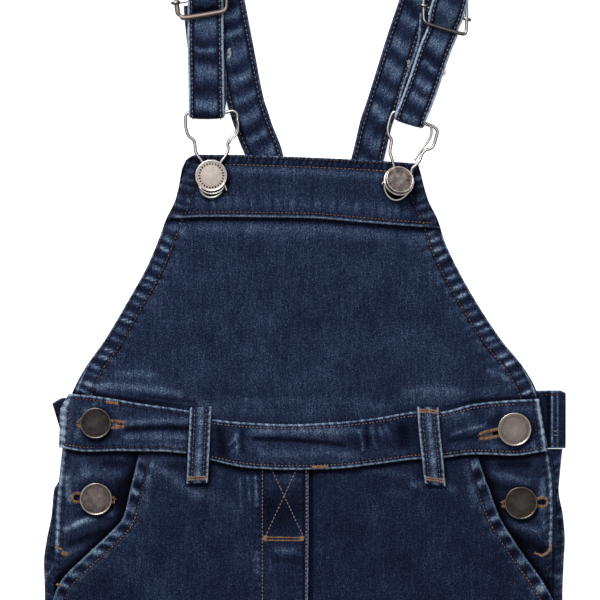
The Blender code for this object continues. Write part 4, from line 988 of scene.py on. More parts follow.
# Side panels: the pocket's facing, with the hip buttonhole and the folds that gather at it
sidePanel = {
    "edges": table("y left right leftInner rightInner back", [
        (17, 130.6, 130.5, 75.0, 78.0, 3.4), (-9, 133.4, 133.6, 75.0, 78.0, 3.4), (-25, 134.5, 134.0, 77.0, 82.0, 3.4),
        (-41, 135.0, 133.6, 84.0, 90.0, 3.3), (-61, 136.0, 133.8, 98.0, 103.0, 2.6),
        (-72, 136.2, 134.0, 112.0, 114.0, 1.7),
    ]),
    "folds": {
        -1: [(-131, -33, -103, -23.5, 0.45, 2.2, 1.0, 0.40), (-128, -40, -108, -33, -0.4, 2.4, 0.0, -0.42),
             (-126, -6, -116, -2, 0.2, 3.0, 0.0, 0.20), (-129, -2, -127, -18, 0.2, 2.4, 0.0, 0.42),
             (-122, 0, -98, -4, 0.2, 4.0, 0.0, 0.20), (-132, -46, -118, -42, 0.3, 2.4, 0.0, 0.24),
             (-99, -4, -102, -20, 0.0, 4.2, 0.0, -0.40), (-110, 4, -96, 3, 0.0, 2.6, 0.0, -0.34),
             (-126, -30, -112, -24, 0.0, 1.6, 0.6, 0.26),
             (-124, -24, -104, -26, -0.2, 2.0, 0.0, -0.24)],
        1: [(98, -2, 122, -8, 0.4, 2.4, 1.2, 0.32), (100, -8, 118, -12, -0.3, 2.0, 0.0, -0.30),
            (128, -4, 129, -22, 0.2, 2.4, 0.0, 0.36), (108, -28, 128, -34, 0.3, 2.6, 0.0, 0.26),
            (112, -36, 130, -44, -0.5, 3.6, 0.0, -0.45), (126, -12, 130, -34, 0.2, 2.0, 0.0, 0.26),
            (104, 3, 122, 3, 0.0, 2.4, 0.0, -0.36), (110, -20, 126, -26, 0.0, 2.5, 0.0, 0.16)],
    },
}


def sidePanelSheet(side):
    columns, name = sidePanel["edges"], sideNames[side]
    inset, shade, reach = (3.4, 0.02, 3.9) if side < 0 else (2.3, -0.08, 3.2)

    def sheet(x, y):
        fromSide = fromEdge(columns, name, side * x, y, -1)
        rise, rubAndPaintedLight = foldField(x, y, sidePanel["folds"][side])
        clear = smooth(0.6, 4.0, fromSide) * fading(6, 10, y) * smooth(-64, -52, y)
        shown = smooth(-50, -40, y)
        rope, groove = ropedEdge(y, fromSide, 4.4, 0.4, 5.0 + side, 2.0, 6.0), bump(fromSide, inset, 0.55)
        back = curve(columns, "back", y) + 0.0 * x
        top = back + clothThick["layer"] + 0.4 * fading(3.0, 6.0, fromSide) * smooth(-46, -40, y)
        top += np.clip(rise, -0.3, 0.5) * clear + 0.08 * rope - 0.16 * groove * shown
        wearAndPaintedLight = shade + 1.3 * rubAndPaintedLight + 0.78 * bump(fromSide, 0.8, 1.3) * shown - 0.36 * groove + 0.34 * rope
        # the shade under the pocket's mouth and the waistband
        fromMouth = np.maximum(side * x - curve(legs["front"], name, y), 0.0)
        wearAndPaintedLight -= 1.25 * np.exp(-(fromMouth / reach) ** 1.4) * (1 - smooth(-6, 12, y) * 0.5)
        wearAndPaintedLight -= 0.55 * bump(y, curve(waist["band"], "bottom", x) - 0.9, 1.4)
        return back, top, wearAndPaintedLight + paintedTrimShade(x, y)
    return sheet


def makeSidePanel(side):
    heights = rungs(-72.0, -70.9, (-69.8, 10.0, 1.1), 12.0, 15.0, 17.0)
    edges = [side * curve(sidePanel["edges"], sideNames[side] + edge, heights) for edge in ("", "Inner")]
    makePanel("side_panel_" + sideNames[side], heights, edges, 1.1, sidePanelSheet(side), 0.45)


# Plain hidden pieces: the button stands under the side panels and the back bib that the straps are sewn to
def makePlain(node, rows, back, spacing=3.0):
    columns = table("y one other", rows)
    heights = rungs((columns["y"][0], columns["y"][-1], spacing), columns["y"][-1])
    edges = curves(columns, "one other", heights)
    front = back + clothThick["layer"]
    makePanel(node, heights, edges, spacing, lambda x, y: (back, front, 0.04 + 0.1 * roping(x + y, y, 5.0, 0.3, 2.0)),
              0.45, (0.0, 1.2, 3.0))


for side in (-1, 1):
    makeSidePanel(side)
makeBib()
makeWaistband()
makeBand()
for side in (-1, 1):
    makeLegs(side)
for side, (top, middle, foot) in ((-1, (131.4, 133.8, 137.6)), (1, (133.0, 135.6, 136.4))):
    makePlain("side_extension_" + sideNames[side], [(y, side * outer, side * inner) for y, outer, inner in (
        (10.8, top, 94.0), (-10, middle, 94.0), (-42, foot, 98.0))], clothThick["layer"] + clothThick["gap"], 2.0)
makePlain("back_bib", [(39.6, -66.0, 70.0), (60, -50.0, 54.0), (90, -34.0, 39.0), (126, -27.0, 33.0)], 0.0)
print("panels made")


# Straps, belt loops and the waistband's back: a flat band carried along a path

# the band's middle line, the way across it, the way out of its face and the length up to each place
def bandRun(path, across):
    out = unit(np.cross(across, unit(np.gradient(path, axis=0))))
    return {"path": path, "across": across, "out": out, "length": runOf(path)}


def flatRun(rows):  # a band that is turned in its own plane by the fourth column
    turn = np.radians(rows[:, 3])
    return bandRun(rows[:, :3], joined(np.cos(turn), np.sin(turn), 0.0))


# detail gives the relief and the wear, with painted light and shade, of both faces by length, distance across and half
# width
def bandPiece(node, run, half, thick, detail, columns=23, edge=0.7, bow=None, edgeWorn=0.8):
    size, length = len(run["path"]), run["length"][:, None]
    half = np.broadcast_to(half, (size,))[:, None]
    over = np.sin(np.linspace(-0.5 * math.pi, 0.5 * math.pi, columns) * 0.9) / math.sin(0.45 * math.pi) * (half - edge)
    rise, rubAndPaintedLight = detail(np.broadcast_to(length, over.shape), over, half)
    side = np.broadcast_to(np.array([0.30, 0.0, -0.30]) * thick, (size, 3))
    inset = np.array([0.22, 0.0, 0.22]) * edge
    offsets = np.concatenate([over, half - inset, over[:, ::-1], inset - half], axis=1)
    levels = np.concatenate([0.5 * thick + rise, side, -0.5 * thick - rise[:, ::-1], -side], axis=1)
    edgeWear = np.reshape(edgeWorn, (-1, 1)) + 0.14 * waver(np.repeat(length, 3, axis=1), 9.0, 2.0)
    wearAndPaintedLight = np.concatenate([rubAndPaintedLight, edgeWear, rubAndPaintedLight[:, ::-1], edgeWear], axis=1)
    middle, across, out = (run[part][:, None] for part in ("path", "across", "out"))
    points = middle + offsets[..., None] * across + levels[..., None] * out
    if bow:  # lifts the corners of a folded end: its height, reach and rise
        points[..., 1] += bow[2] * (offsets / half) ** 4 * bump(run["path"][:, 1], bow[0], bow[1])[:, None]
    cloth = joined(offsets, length) + 0.37 * len(node + "_cloth")
    flat = np.array([2 * half.max(), length[-1, 0]])
    addCloth(node, points.reshape(-1, 3), tube(*offsets.shape), cloth, wearAndPaintedLight, flat, "folded")


# a surface for sewing on a band: its face (1 out, -1 back) at a length and a distance across
def onBand(run, half, thick, detail, face=1):
    def surface(place, over):
        place, over = np.broadcast_arrays(place, over)
        middle, across, out = (np.stack([np.interp(place, run["length"], column) for column in run[part].T], axis=-1)
                               for part in ("path", "across", "out"))
        level = face * (0.5 * thick + detail(place, over, half)[0])
        return middle + over[..., None] * across + level[..., None] * out, face * out
    return surface


strap = {
    "layers": {"back": 1.1, "under": 3.6, "front": 6.1}, "thick": 2.2, "stitch": 2.2,
    "wrap": 2.25, "sliderHeight": 21.0, "barOffset": 9.0,
}
sides = {
    # bib button, tilt of the clip, middle of the adjuster's lower bar, half its width and the slope of its
    # bars, and where the strap's middle passes that bar and how it leans there
    "left": {"button": (-50.5, 158.8), "clipTilt": 0.0, "slider": (-56.0, 245.4), "sliderHalf": 13.6,
             "slope": 0.17, "strapAtBar": -53.7, "lean": 0.0, "bulge": 0.0, "dip": 0.0, "flat": 0.6,
             "barThick": 0.62, "barHighlightCut": 0.0},
    "right": {"button": (51.3, 156.6), "clipTilt": -13.0, "slider": (75.5, 238.0), "sliderHalf": 11.5,
              "slope": -0.3, "strapAtBar": 74.2, "lean": 0.28, "bulge": 1.8, "dip": 2.2, "flat": 0.0,
              "barThick": 0.22, "barHighlightCut": 0.125},
}
strapRuns = {
    # back: x, y, height and turn, from the sewn end to the shoulder; front and clipEnd: x, y and turn;
    # onClip is the strap's place along the clip's bar, peek how far its returning end shows at the side;
    # bands are y, width and how much paler or darker the front is across its puckers, partly rubbing and partly painted
    # light and shade
    "left": {
        "back": [
            (-5.0, 112.0, 2.65, 22), (-10.6, 128.0, 2.65, 22), (-16.0, 142.0, 1.1, 23), (-22.1, 170.6, 1.1, 22),
            (-27.4, 184.0, 1.1, 18), (-31.4, 196.0, 1.1, 14), (-37.8, 228.0, 1.1, 11), (-42.7, 254.0, 1.1, 9),
            (-48.6, 286.0, 1.1, 7), (-52.8, 314.0, 1.1, 2),
        ],
        "front": [(-53.7, 314.0, 0), (-53.7, 290.0, 0), (-53.7, 270.0, 0)],
        "clipEnd": [(-53.7, 232.0, 0), (-53.3, 206.0, 0)],
        "backWidth": 20.0, "wrapWidth": 19.5, "onClip": -2.6, "peek": (1.6, -0.6, -2.4), "clipHeight": 33.9,
        "wrapTurn": 0, "returnEdge": 0.35,
        "slant": 0.05, "backSlant": -0.22, "pitch": 11.4,
        # the band at 248.6 is painted shade where the strap passes under the adjuster's lower bar
        "bands": [(240, 4.0, 0.22), (230.5, 2.6, -0.30), (226.6, 1.3, 0.34), (221.5, 2.4, -0.34), (214.8, 3.4, 0.30),
                  (205.5, 3.6, -0.34), (196.5, 3.2, 0.26), (191.6, 1.6, -0.3), (262, 3.5, -0.2), (268, 4.0, 0.2),
                  (248.6, 1.7, -0.55)],
    },
    "right": {
        "back": [
            (19.0, 112.0, 2.65, -15), (23.2, 128.0, 2.65, -15), (27.0, 142.0, 1.1, -16), (34.4, 170.1, 1.1, -15),
            (37.8, 184.1, 1.1, -15), (44.2, 204.7, 1.1, -17), (53.2, 233.8, 1.1, -17), (60.0, 254.0, 1.1, -18),
            (70.0, 286.0, 1.1, -16), (77.4, 314.0, 1.1, -12),
        ],
        "front": [(79.0, 314.0, -8), (78.6, 292.0, -4), (78.4, 270.0, -3)],
        "clipEnd": [(70.6, 228.0, -17), (62.8, 205.0, -16)],
        "backWidth": 17.4, "wrapWidth": 17.0, "onClip": -1.9, "peek": (-2.4, -2.0, -3.9), "clipHeight": 33.4,
        "wrapTurn": -3.5, "returnEdge": 0.62,
        "slant": 0.25, "backSlant": 0.26, "pitch": 13.2,
        "bands": [(255, 3.0, -0.2), (248, 3.4, 0.26), (229.5, 3.6, 0.32), (222.0, 2.4, -0.32), (218.0, 1.4, 0.28),
                  (213.5, 2.0, -0.26), (208.0, 2.3, 0.34), (204.0, 1.6, -0.2), (200.0, 2.6, 0.30), (194.0, 3.0, -0.32),
                  (189.5, 2.0, 0.22)],
    },
}


# up from the back bib, over the shoulder, down through the adjuster, round the clip's bar and back up
def strapPath(label):
    run, place = strapRuns[label], sides[label]
    front, under, back = strap["layers"]["front"], strap["layers"]["under"], strap["layers"]["back"]
    width, wrapWidth = run["backWidth"], run["wrapWidth"]
    rows = [(*row, width) for row in run["back"]]
    radius = 0.5 * (front - back)
    (x0, y0, _, turn0), (x1, y1, turn1) = run["back"][-1], run["front"][0]
    for share in np.arange(1, 8) / 8:
        angle = math.pi * share
        rows.append((mix(x0, x1, share), mix(y0, y1, share) + radius * math.sin(angle),
                     back + radius * (1 - math.cos(angle)), mix(turn0, turn1, share), width))
    rows += [(x, y, front, turn, mix(width, wrapWidth, 0.5)) for x, y, turn in run["front"]]
    tilt = math.degrees(math.atan(place["slope"]))
    barY = place["slider"][1] + place["slope"] * (place["strapAtBar"] - place["slider"][0])
    top = strap["sliderHeight"] - 4.6 if place["dip"] else strap["barOffset"] + 1.6
    for along, z in ((strap["sliderHeight"] - 1.0, front), (top, front + 2.85),
                     (strap["barOffset"] - 1.4, front + 2.85), (1.6, front - 0.05), (-1.6, front - 0.05)):
        turn = tilt * (1.0 - 0.6 * max(along, 0.0) / strap["sliderHeight"])
        rows.append((place["strapAtBar"] + place["lean"] * max(along, 0.0), barY + along, z, turn,
                     wrapWidth + place["bulge"] * (along > 5)))
    rows += [(x, y, front, turn, wrapWidth) for x, y, turn in run["clipEnd"]]
    for angle in np.radians(np.arange(90, -91, -30)):
        along, rise = run["clipHeight"] - strap["wrap"] * math.cos(angle), strap["wrap"] * (1 + math.sin(angle))
        x, y = turnInPlane(run["onClip"], along, place["button"], place["clipTilt"])
        rows.append((x, y, under + rise, place["clipTilt"] + run["wrapTurn"], wrapWidth))
    rows += [(x + peek, y, under, turn, wrapWidth) for (x, y, turn), peek in zip(run["clipEnd"][::-1], run["peek"])]
    rows.append((place["strapAtBar"] + run["peek"][-1], barY + strap["barOffset"] - 2.5, under, tilt, wrapWidth))
    return rows


def turnInPlane(across, along, centre, degrees):
    angle = math.radians(degrees)
    return (centre[0] + across * math.cos(angle) - along * math.sin(angle),
            centre[1] + across * math.sin(angle) + along * math.cos(angle))


# how pale a strap's edges are rubbed: little on the back run, white on the front, by side on the returning end
def strapEdge(label, run):
    fold = int(np.argmax(run["path"][:, 1]))
    foot = fold + int(np.argmin(run["path"][fold:, 1]))
    place = run["length"]
    front = smooth(place[fold] - 2, place[fold] + 2, place)
    returning = smooth(place[foot], place[foot] + 5, place)
    return mix(mix(0.30, 1.08, front), strapRuns[label]["returnEdge"], returning)


# a strap's faces: pale folded edges, a dark groove of stitches inside each, puckers across the middle whose light and
# dark are partly painted
def strapDetail(label, run):
    data, seed = strapRuns[label], 1.0 if label == "left" else 4.0
    foldLength = run["length"][np.argmax(run["path"][:, 1])]
    edgeWorn = strapEdge(label, run)

    def detail(place, over, half):
        near = half - np.abs(over)
        rope = ropedEdge(place, near, 3.7, 0.4, seed + np.sign(over), 2.6, 4.2)
        y = np.interp(place, run["length"], run["path"][:, 1])
        front = smooth(foldLength - 2, foldLength + 2, place)
        bands = 0.0 * place
        for centre, width, wornAndPaintedLight in data["bands"]:
            bands += wornAndPaintedLight * bump(y + data["slant"] * over + 1.2 * waver(over, 11.0, centre), centre, width) * front
        wave = np.sin(2 * math.pi * (place + data["backSlant"] * over) / data["pitch"] + 1.4 * waver(place, 50.0, seed)
                      + 0.5 * waver(over, 12.0, seed))
        bands += 0.34 * wave * (0.65 + 0.35 * waver(place + over, 31.0, seed + 2)) * (1 - 0.8 * front)
        inner = smooth(2.4, 4.6, near)
        rise = 0.12 * rope - 0.20 * bump(near, strap["stitch"], 0.6) + 0.42 * bands * inner
        pale = np.interp(place, run["length"], edgeWorn)
        rubAndPaintedLight = pale * bump(near, 0.45, 0.85) - 0.62 * bump(near, strap["stitch"] + 0.3, 1.0) + 0.24 * rope
        return rise, rubAndPaintedLight + 1.3 * bands * inner + 0.10 * inner
    return detail


def makeStrap(label):
    rows = smoothPath(strapPath(label), 0.95)
    run, half = flatRun(rows), 0.5 * rows[:, 4]
    detail = strapDetail(label, run)
    foot = float(run["path"][len(rows) // 2:, 1].min())
    bandPiece("strap_" + label, run, half, strap["thick"], detail, bow=(foot, 5.0, 1.0), edgeWorn=strapEdge(label, run))
    # dark stitches, with pale rubbed yarn showing between them on the side that faces up
    fold, end = run["length"][np.argmax(run["path"][:, 1])], run["length"][-1] - 1.5
    for face in (1, -1):
        surface = onBand(run, 0.5 * float(np.mean(rows[:, 4])), strap["thick"], detail, face)
        for start, stop in ((1.5, fold), (fold, end)):
            faceUp = (start < 2) == (face > 0)
            looks = ((0.03, 0.97), 1.3, 1.15, 0.62, 0.0) if faceUp else (0.06, 1.9, 1.35, 0.5)
            place = np.arange(start, stop, 0.8)
            for edge in (-1, 1):
                sew("strap", surface, place, edge * (np.interp(place, run["length"], half) - strap["stitch"]), *looks)


def makeLoop(label):
    run, half, seed = flatRun(smoothPath(loops[label], 0.7)), 0.5 * loopSize["width"], 2.0 if label == "left" else 6.0

    def detail(place, over, half):
        near = half - np.abs(over)
        rope = ropedEdge(place, near, 3.4, 0.5, seed + np.sign(over), 2.6, 4.0)
        middle = bump(over, 0.3, 2.2)
        rise = 0.12 * rope - 0.18 * bump(near, loopSize["stitch"], 0.55) + 0.30 * middle
        rubAndPaintedLight = 0.80 * bump(near, 0.5, 0.7) - 0.46 * bump(near, loopSize["stitch"], 0.8) + 0.30 * rope
        return rise, rubAndPaintedLight + middle * (0.46 + 0.16 * waver(place, 9.0, seed)) + 0.02
    bandPiece("belt_loop_" + label, run, half, loopSize["thick"], detail, 27, 0.6)
    surface = onBand(run, half, loopSize["thick"], detail)
    place = np.arange(1.0, run["length"][-1] - 0.6, 0.7)
    for edge in (-1, 1):
        sew("loop", surface, place, edge * (half - loopSize["stitch"]), (0.92, 0.20), 1.25, 1.0, 0.54)
    tacks = [(2.8, 0.54)] if label == "left" else [(3.0, 0.53), (run["length"][-1] - 2.2, 0.48)]
    for foot, dye in tacks:  # two bars side by side, with taller ends
        for drop in (-0.62, 0.62):
            satin("loop", surface, foot + drop, np.linspace(-4.6, 4.6, 30), -0.42, 0.42, dye, 0.42, 0.40, 0.9, 0.16)
        for end in (-4.5, 4.5):
            satin("loop", surface, foot + np.linspace(-1.1, 1.3, 8), end, -0.5, 0.5, dye - 0.06, 0.40, 0.40, 0.5, 0.16)


backWaist = {
    "lower": 0.7, "upper": 2.5, "thick": 1.4, "left": -135.4, "right": 139.6, "ends": 100.5,
    "shape": table("x middle width", [(-136.5, 23.8, 24.6), (-131, 25.2, 27.4), (-100, 25.2, 27.4), (60, 25.2, 27.4),
                                      (100, 26.4, 29.8), (137.5, 27.3, 31.4), (141.5, 26.5, 29.8)]),
}


# flat across the back, then folded forwards at both sides as the button stand
def makeBackWaistband():
    lower, upper, thick, left, right, ends, shape = backWaist.values()
    radius = 0.5 * (upper - lower)
    arc = np.radians(np.linspace(15, 165, 9))
    round, rise = radius * np.sin(arc), lower + radius - radius * np.cos(arc)
    flatBack = np.linspace(left, right, 190)
    leftEnd, rightEnd = -np.linspace(ends, -left, 22), np.linspace(right, ends, 70)
    x = np.concatenate([leftEnd, left - round[::-1], flatBack, right + round, rightEnd])
    z = np.concatenate([0 * leftEnd + upper, rise[::-1], 0 * flatBack + lower, rise, 0 * rightEnd + upper])
    half = 0.5 * curve(shape, "width", x)
    lean = 0.3 * fading(-136.0, -118.0, x)
    run = bandRun(joined(x + half * lean, curve(shape, "middle", x), z), joined(-lean, 1.0, 0.0))
    run["out"] = unit(run["out"] * [1, 0, 1])

    def detail(place, over, half):
        near = half - np.abs(over)
        rope = ropedEdge(place, near, 4.0, 0.4, 3.0 + np.sign(over), 2.0, 5.5)
        groove = bump(near, 2.4, 0.6)
        rubAndPaintedLight = 0.36 * bump(near, 0.3, 0.8) + 0.26 * rope - 0.30 * groove + 0.14 * waver(place, 13.0, 1.0) - 0.16
        across = np.interp(place, run["length"], run["path"][:, 0])
        seam = bump(across, 133.6, 0.7) + 0.7 * bump(across, 136.6, 0.5) - 0.8 * bump(across, 131.8, 1.0)
        return 0.06 * rope - 0.12 * groove + 0.25 * bump(across, 133.6, 0.9), rubAndPaintedLight + 0.95 * seam * (across > 120)
    bandPiece("back_waistband", run, half, thick, detail, 25)
    stitch, usualHalf = partial(sew, "back_waistband"), 13.8
    place = np.arange(1.5, run["length"][-1] - 1.5, 0.9)
    inset = np.interp(place, run["length"], half) - 2.4
    for face in (1, -1):
        surface = onBand(run, usualHalf, thick, detail, face)
        for edge in (-1, 1):
            stitch(surface, place, edge * inset, 0.10, 2.3, 1.7, 0.40)
    # two short pale rows by the side seam, low on the folded end
    surface = onBand(run, usualHalf, thick, detail)
    turn = int(np.argmax(run["path"][:, 0]))
    place = np.interp(-np.linspace(134.4, 139.2, 14), -run["path"][turn:, 0], run["length"][turn:])
    for drop in (-8.6, -6.4):
        stitch(surface, place, drop, 0.80, 2.4, 2.1, 0.6)


for label in ("left", "right"):
    makeStrap(label)
for label in ("left", "right"):
    makeLoop(label)
makeBackWaistband()
print("bands made")


# Wire clips and adjusters

clips = {
    # the wire's path from the foot of its loop up round the bar and back down: x and y from the button
    "left": [(-0.5, -11.7), (-3.4, -10.8), (-5.6, -8.4), (-6.6, -5.0), (-6.8, -0.5), (-6.0, 3.4), (-4.5, 6.2),
             (-5.6, 8.6), (-7.2, 10.6), (-8.6, 13.4), (-8.9, 16.8), (-9.6, 19.2), (-12.3, 21.6), (-13.7, 25.4),
             (-14.0, 29.4), (-13.8, 32.6), (-12.4, 34.2), (-8.0, 34.3), (0.0, 34.0), (8.0, 34.4), (11.2, 35.2),
             (13.4, 34.2), (14.1, 31.2), (13.9, 25.4), (12.7, 22.6), (9.7, 19.6), (8.8, 17.2), (9.1, 14.8),
             (8.4, 12.2), (6.7, 9.6), (5.2, 7.6), (4.5, 6.0), (6.0, 3.4), (7.0, -0.5), (6.8, -5.0), (5.4, -8.6),
             (2.8, -11.0)],
    "right": [(-0.9, -11.2), (-3.4, -10.5), (-5.8, -8.4), (-7.4, -5.4), (-7.6, -1.0), (-6.2, 3.6), (-4.9, 6.0),
              (-6.0, 8.4), (-7.4, 11.0), (-8.7, 13.6), (-9.0, 17.3), (-9.4, 20.0), (-11.5, 22.4), (-12.6, 25.0),
              (-12.8, 29.2), (-12.5, 33.0), (-11.4, 35.1), (-8.6, 34.9), (0.0, 33.5), (8.0, 32.5), (11.6, 32.0),
              (13.6, 30.4), (13.8, 26.6), (13.3, 21.8), (12.0, 20.0), (9.7, 18.7), (8.5, 16.4), (8.1, 13.0),
              (7.0, 10.5), (4.9, 7.4), (5.0, 5.0), (6.4, 2.0), (6.6, -1.0), (6.0, -5.0), (4.4, -8.0), (1.9, -10.4)],
    # the outer wire that doubles the clip's side
    "leftDouble": [(13.9, 31.0), (14.5, 27.4), (14.0, 22.9), (12.2, 20.9), (10.6, 19.6), (9.6, 17.4)],
    "rightDouble": [(7.0, 33.4), (9.2, 32.2), (10.6, 29.8), (10.8, 26.3), (9.7, 22.8), (8.1, 19.6),
                    (6.4, 15.3), (5.4, 12.0)],
    "rise": table("along z", [(-13, 7.5), (8, 7.5), (16, 6.6), (24, 6.0), (36, 5.85)]),
    "wire": 0.88,
    # the loop's second turn, by its middle and radii from the button
    "turn": {"left": (0.2, -4.2, 6.9, 5.5), "right": (-0.9, -3.4, 5.6, 4.4)},
}


def makeClip(label):
    place = sides[label]

    def laid(rows, lift, closed=False, step=0.6):
        across, along = np.array(rows).T
        x, y = turnInPlane(across, along, place["button"], place["clipTilt"])
        return smoothPath(joined(x, y, curve(clips["rise"], "z", along) + lift), step, closed)
    # the second turn of the loop, seen as a crescent below the button, and the stub ends of the wire
    arc = np.radians(np.linspace(-158, -22, 26))
    x, y, wide, tall = clips["turn"][label]
    turn = joined(x + wide * np.cos(arc), y + tall * np.sin(arc))
    stub = [(8.2, -8.0), (7.6, -6.0), (6.4, -4.4)] if label == "left" else [(-9.0, -4.6), (-8.2, -2.6), (-7.0, -1.0)]
    name = "clip_" + label
    wire(name + "_wire", laid(clips[label], 0.0, True), clips["wire"], wireFinish, name)
    for part, path, radius in (("_double", laid(clips[label + "Double"], 0.9), 0.62), ("_turn", laid(turn, 1.05), 0.75),
                               ("_stub", laid(stub, 1.0, False, 0.4), 0.7)):
        wire(name + part, path, radius, wireFinish, closed=False)


# a wire that is broad and low at its foot: the adjuster's frame, with a flat lower bar
def makeSlider(label):
    place = sides[label]
    half, slope, height, corner = place["sliderHalf"], place["slope"], strap["layers"]["front"] + 2.6, 2.6
    rows = []
    for cx, cy, start in ((1, 1, 0), (-1, 1, 90), (-1, 0, 180), (1, 0, 270)):
        angle = np.radians(start + np.array([0, 22, 45, 68, 90]))
        level = strap["sliderHeight"] - corner if cy else corner
        rows.append(joined((half - corner) * cx + corner * np.cos(angle), level + corner * np.sin(angle)))
    across, along = np.concatenate(rows).T
    cropped = place["flat"] * 5.0 * bump(across, -half, 3.4) * bump(along, 0.0, 3.4)
    across, along = across + 0.7 * cropped, along + 0.2 * cropped
    share = across / half
    dip = place["dip"] * smooth(0.2, 1.0, share) * smooth(2.0, 7.0, along) * fading(14.0, 19.0, along)
    x, y = place["slider"][0] + across, place["slider"][1] + along + slope * across
    path = smoothPath(joined(x, y, height - dip, along, share), 0.6, True)
    foot = fading(0.2, 2.0, path[:, 3])
    broad = place["flat"] * fading(-0.96, -0.80, path[:, 4]) * fading(9.0, 12.0, path[:, 3])
    radius = 0.82 + place["barThick"] * foot * mix(1.0, 0.7, 0.5 + 0.5 * path[:, 4]) + 1.0 * broad * (1.0 - foot)
    # on the right the foot of the bar gets a smaller painted highlight
    wire("slider_" + label + "_frame", path[:, :3], radius, barFinish if label == "left" else wireFinish,
         "slider_" + label, sides=16, highlightShare=1.0 - place["barHighlightCut"] * foot)
    # the cross bar passes under the side wires and its ends curl up round them
    hook, curl = 1.7 + clothThick["gap"], np.radians(np.arange(150, -91, -30))
    ends, rise = half + hook * np.cos(curl), hook * np.sin(curl)
    across, rise = np.concatenate([ends, -ends[::-1]]), np.concatenate([rise, rise[::-1]])
    rise = rise - place["dip"] * smooth(0.2, 1.0, across / half)
    path = joined(place["slider"][0] + across, place["slider"][1] + strap["barOffset"] + slope * across, height + rise)
    wire("slider_" + label + "_bar", smoothPath(path, 0.45), 0.8, wireFinish, "slider_bar_" + label, closed=False)


for label in ("left", "right"):
    makeClip(label)
    makeSlider(label)


# Buttons: a domed, dished face inside a rolled rim, turned about an upright axis

looks = {
    # face where rubbed and where dull, the rubbed rim, roughness, how cloudy
    "dark": ((0.082, 0.070, 0.067), (0.022, 0.018, 0.018), (0.26, 0.22, 0.20), 0.42, 0.5),
    "grey": ((0.250, 0.208, 0.196), (0.060, 0.050, 0.047), (0.52, 0.47, 0.43), 0.40, 0.6),
    "umber": ((0.400, 0.335, 0.315), (0.110, 0.090, 0.083), (0.75, 0.70, 0.65), 0.38, 0.7),
    "olive": ((0.085, 0.071, 0.062), (0.024, 0.019, 0.016), (0.24, 0.20, 0.17), 0.42, 0.5),
    "pale": ((0.340, 0.285, 0.262), (0.150, 0.124, 0.112), (0.66, 0.60, 0.55), 0.38, 0.4),
    "bright": ((0.70, 0.62, 0.57), (0.50, 0.43, 0.39), (0.80, 0.76, 0.71), 0.36, 0.25),
}
buttonFinishes = {
    look: makeMetal("button " + look, bright, dull, rough, (7.75, 8.1, rim), cloudy)
    for look, (bright, dull, rim, rough, cloudy) in looks.items()
}
inkFinish = makeMetal("dark enamel", (0.05, 0.042, 0.038), (0.02, 0.017, 0.016), 0.5)


def leaning(points, data):  # tips a head about its middle, towards a compass angle
    lean, way = math.radians(data.get("lean", 0.0)), math.radians(data.get("way", 0.0))
    middle = np.array([*data["at"], data["head"]])
    towards = np.array([math.cos(way), math.sin(way), 0.0])
    moved = points - middle
    out, up = moved @ towards, moved[..., 2]
    tipped = moved + (out * (math.cos(lean) - 1) + up * math.sin(lean))[..., None] * towards
    tipped[..., 2] += up * (math.cos(lean) - 1) - out * math.sin(lean)
    share = smooth(data["foot"], data["head"], points[..., 2])[..., None]
    return middle + mix(moved, tipped, share)


def makeButton(name, data):
    shank, radius, segments = buttonShape["shank"], buttonShape["radius"] * data["size"], buttonShape["segments"]
    profile = [(shank, data["foot"]), (shank, data["head"] - 0.02)]
    profile += [(radius - inset, data["head"] + rise) for inset, rise in buttonShape[data.get("form", "head")]]
    reach, height = np.array(profile).T[..., None]
    angle, (x, y) = turns(segments), data["at"]
    ring = joined(x + reach * np.cos(angle), y + reach * np.sin(angle), height).reshape(-1, 3)
    points = leaning(np.concatenate([ring, [[x, y, data["foot"]], [x, y, height[-1, 0] + 0.005]]]), data)
    count = len(ring)
    number = np.arange(count).reshape(-1, segments)
    first, last = number[0], number[-1]
    fans = np.concatenate([joined(count, np.roll(first, -1), first), joined(count + 1, last, np.roll(last, -1))])
    ringed = reach / data["size"]  # the radius by which the finish is rubbed
    if "form" in data:
        inset, (low, high), brim = radius - reach, buttonShape["wall"], buttonShape["brim"]
        ringed = np.where((inset > low) & (inset < high), 7.2, ringed)
        ringed = np.where((inset >= high) & (inset < brim), 8.3, ringed)
    cloth = np.concatenate([joined(angle * 5.0, ringed).reshape(-1, 2), np.zeros((2, 2))])
    slot = "bright_button" if data["look"] == "bright" else "antique_button"
    addPiece(name + "_metal", points, [quads(number, ring=True), fans], buttonFinishes[data["look"]], slot, name, cloth)


for name, data in buttons.items():
    makeButton(name, data)


# a plain ring of ticks sunk into a button's face
def makeTicks(name, count, inner, outer, thick, finish, slot):
    data, angle = buttons[name], turns(count)[:, None]
    reach = mix(inner, outer, strandShape["places"]) * data["size"]
    x, y = data["at"][0] + reach * np.cos(angle), data["at"][1] + reach * np.sin(angle)
    path, up = facing(joined(x, y, data["head"] + 1.26))
    strands(name + "_ticks", [{"path": path, "up": up, "thick": thick, "dye": 0.0, "uneven": 0.0}], finish, slot)


makeTicks("bib_button_left", 26, 5.9, 7.3, 0.8, inkFinish, "bright_button")
makeTicks("waist_button_right", 30, 6.0, 7.2, 0.42, buttonFinishes["dark"], "antique_button")
print("metal made")


# Topstitching on the panels, by surface, path, dye, pitch, length and thickness

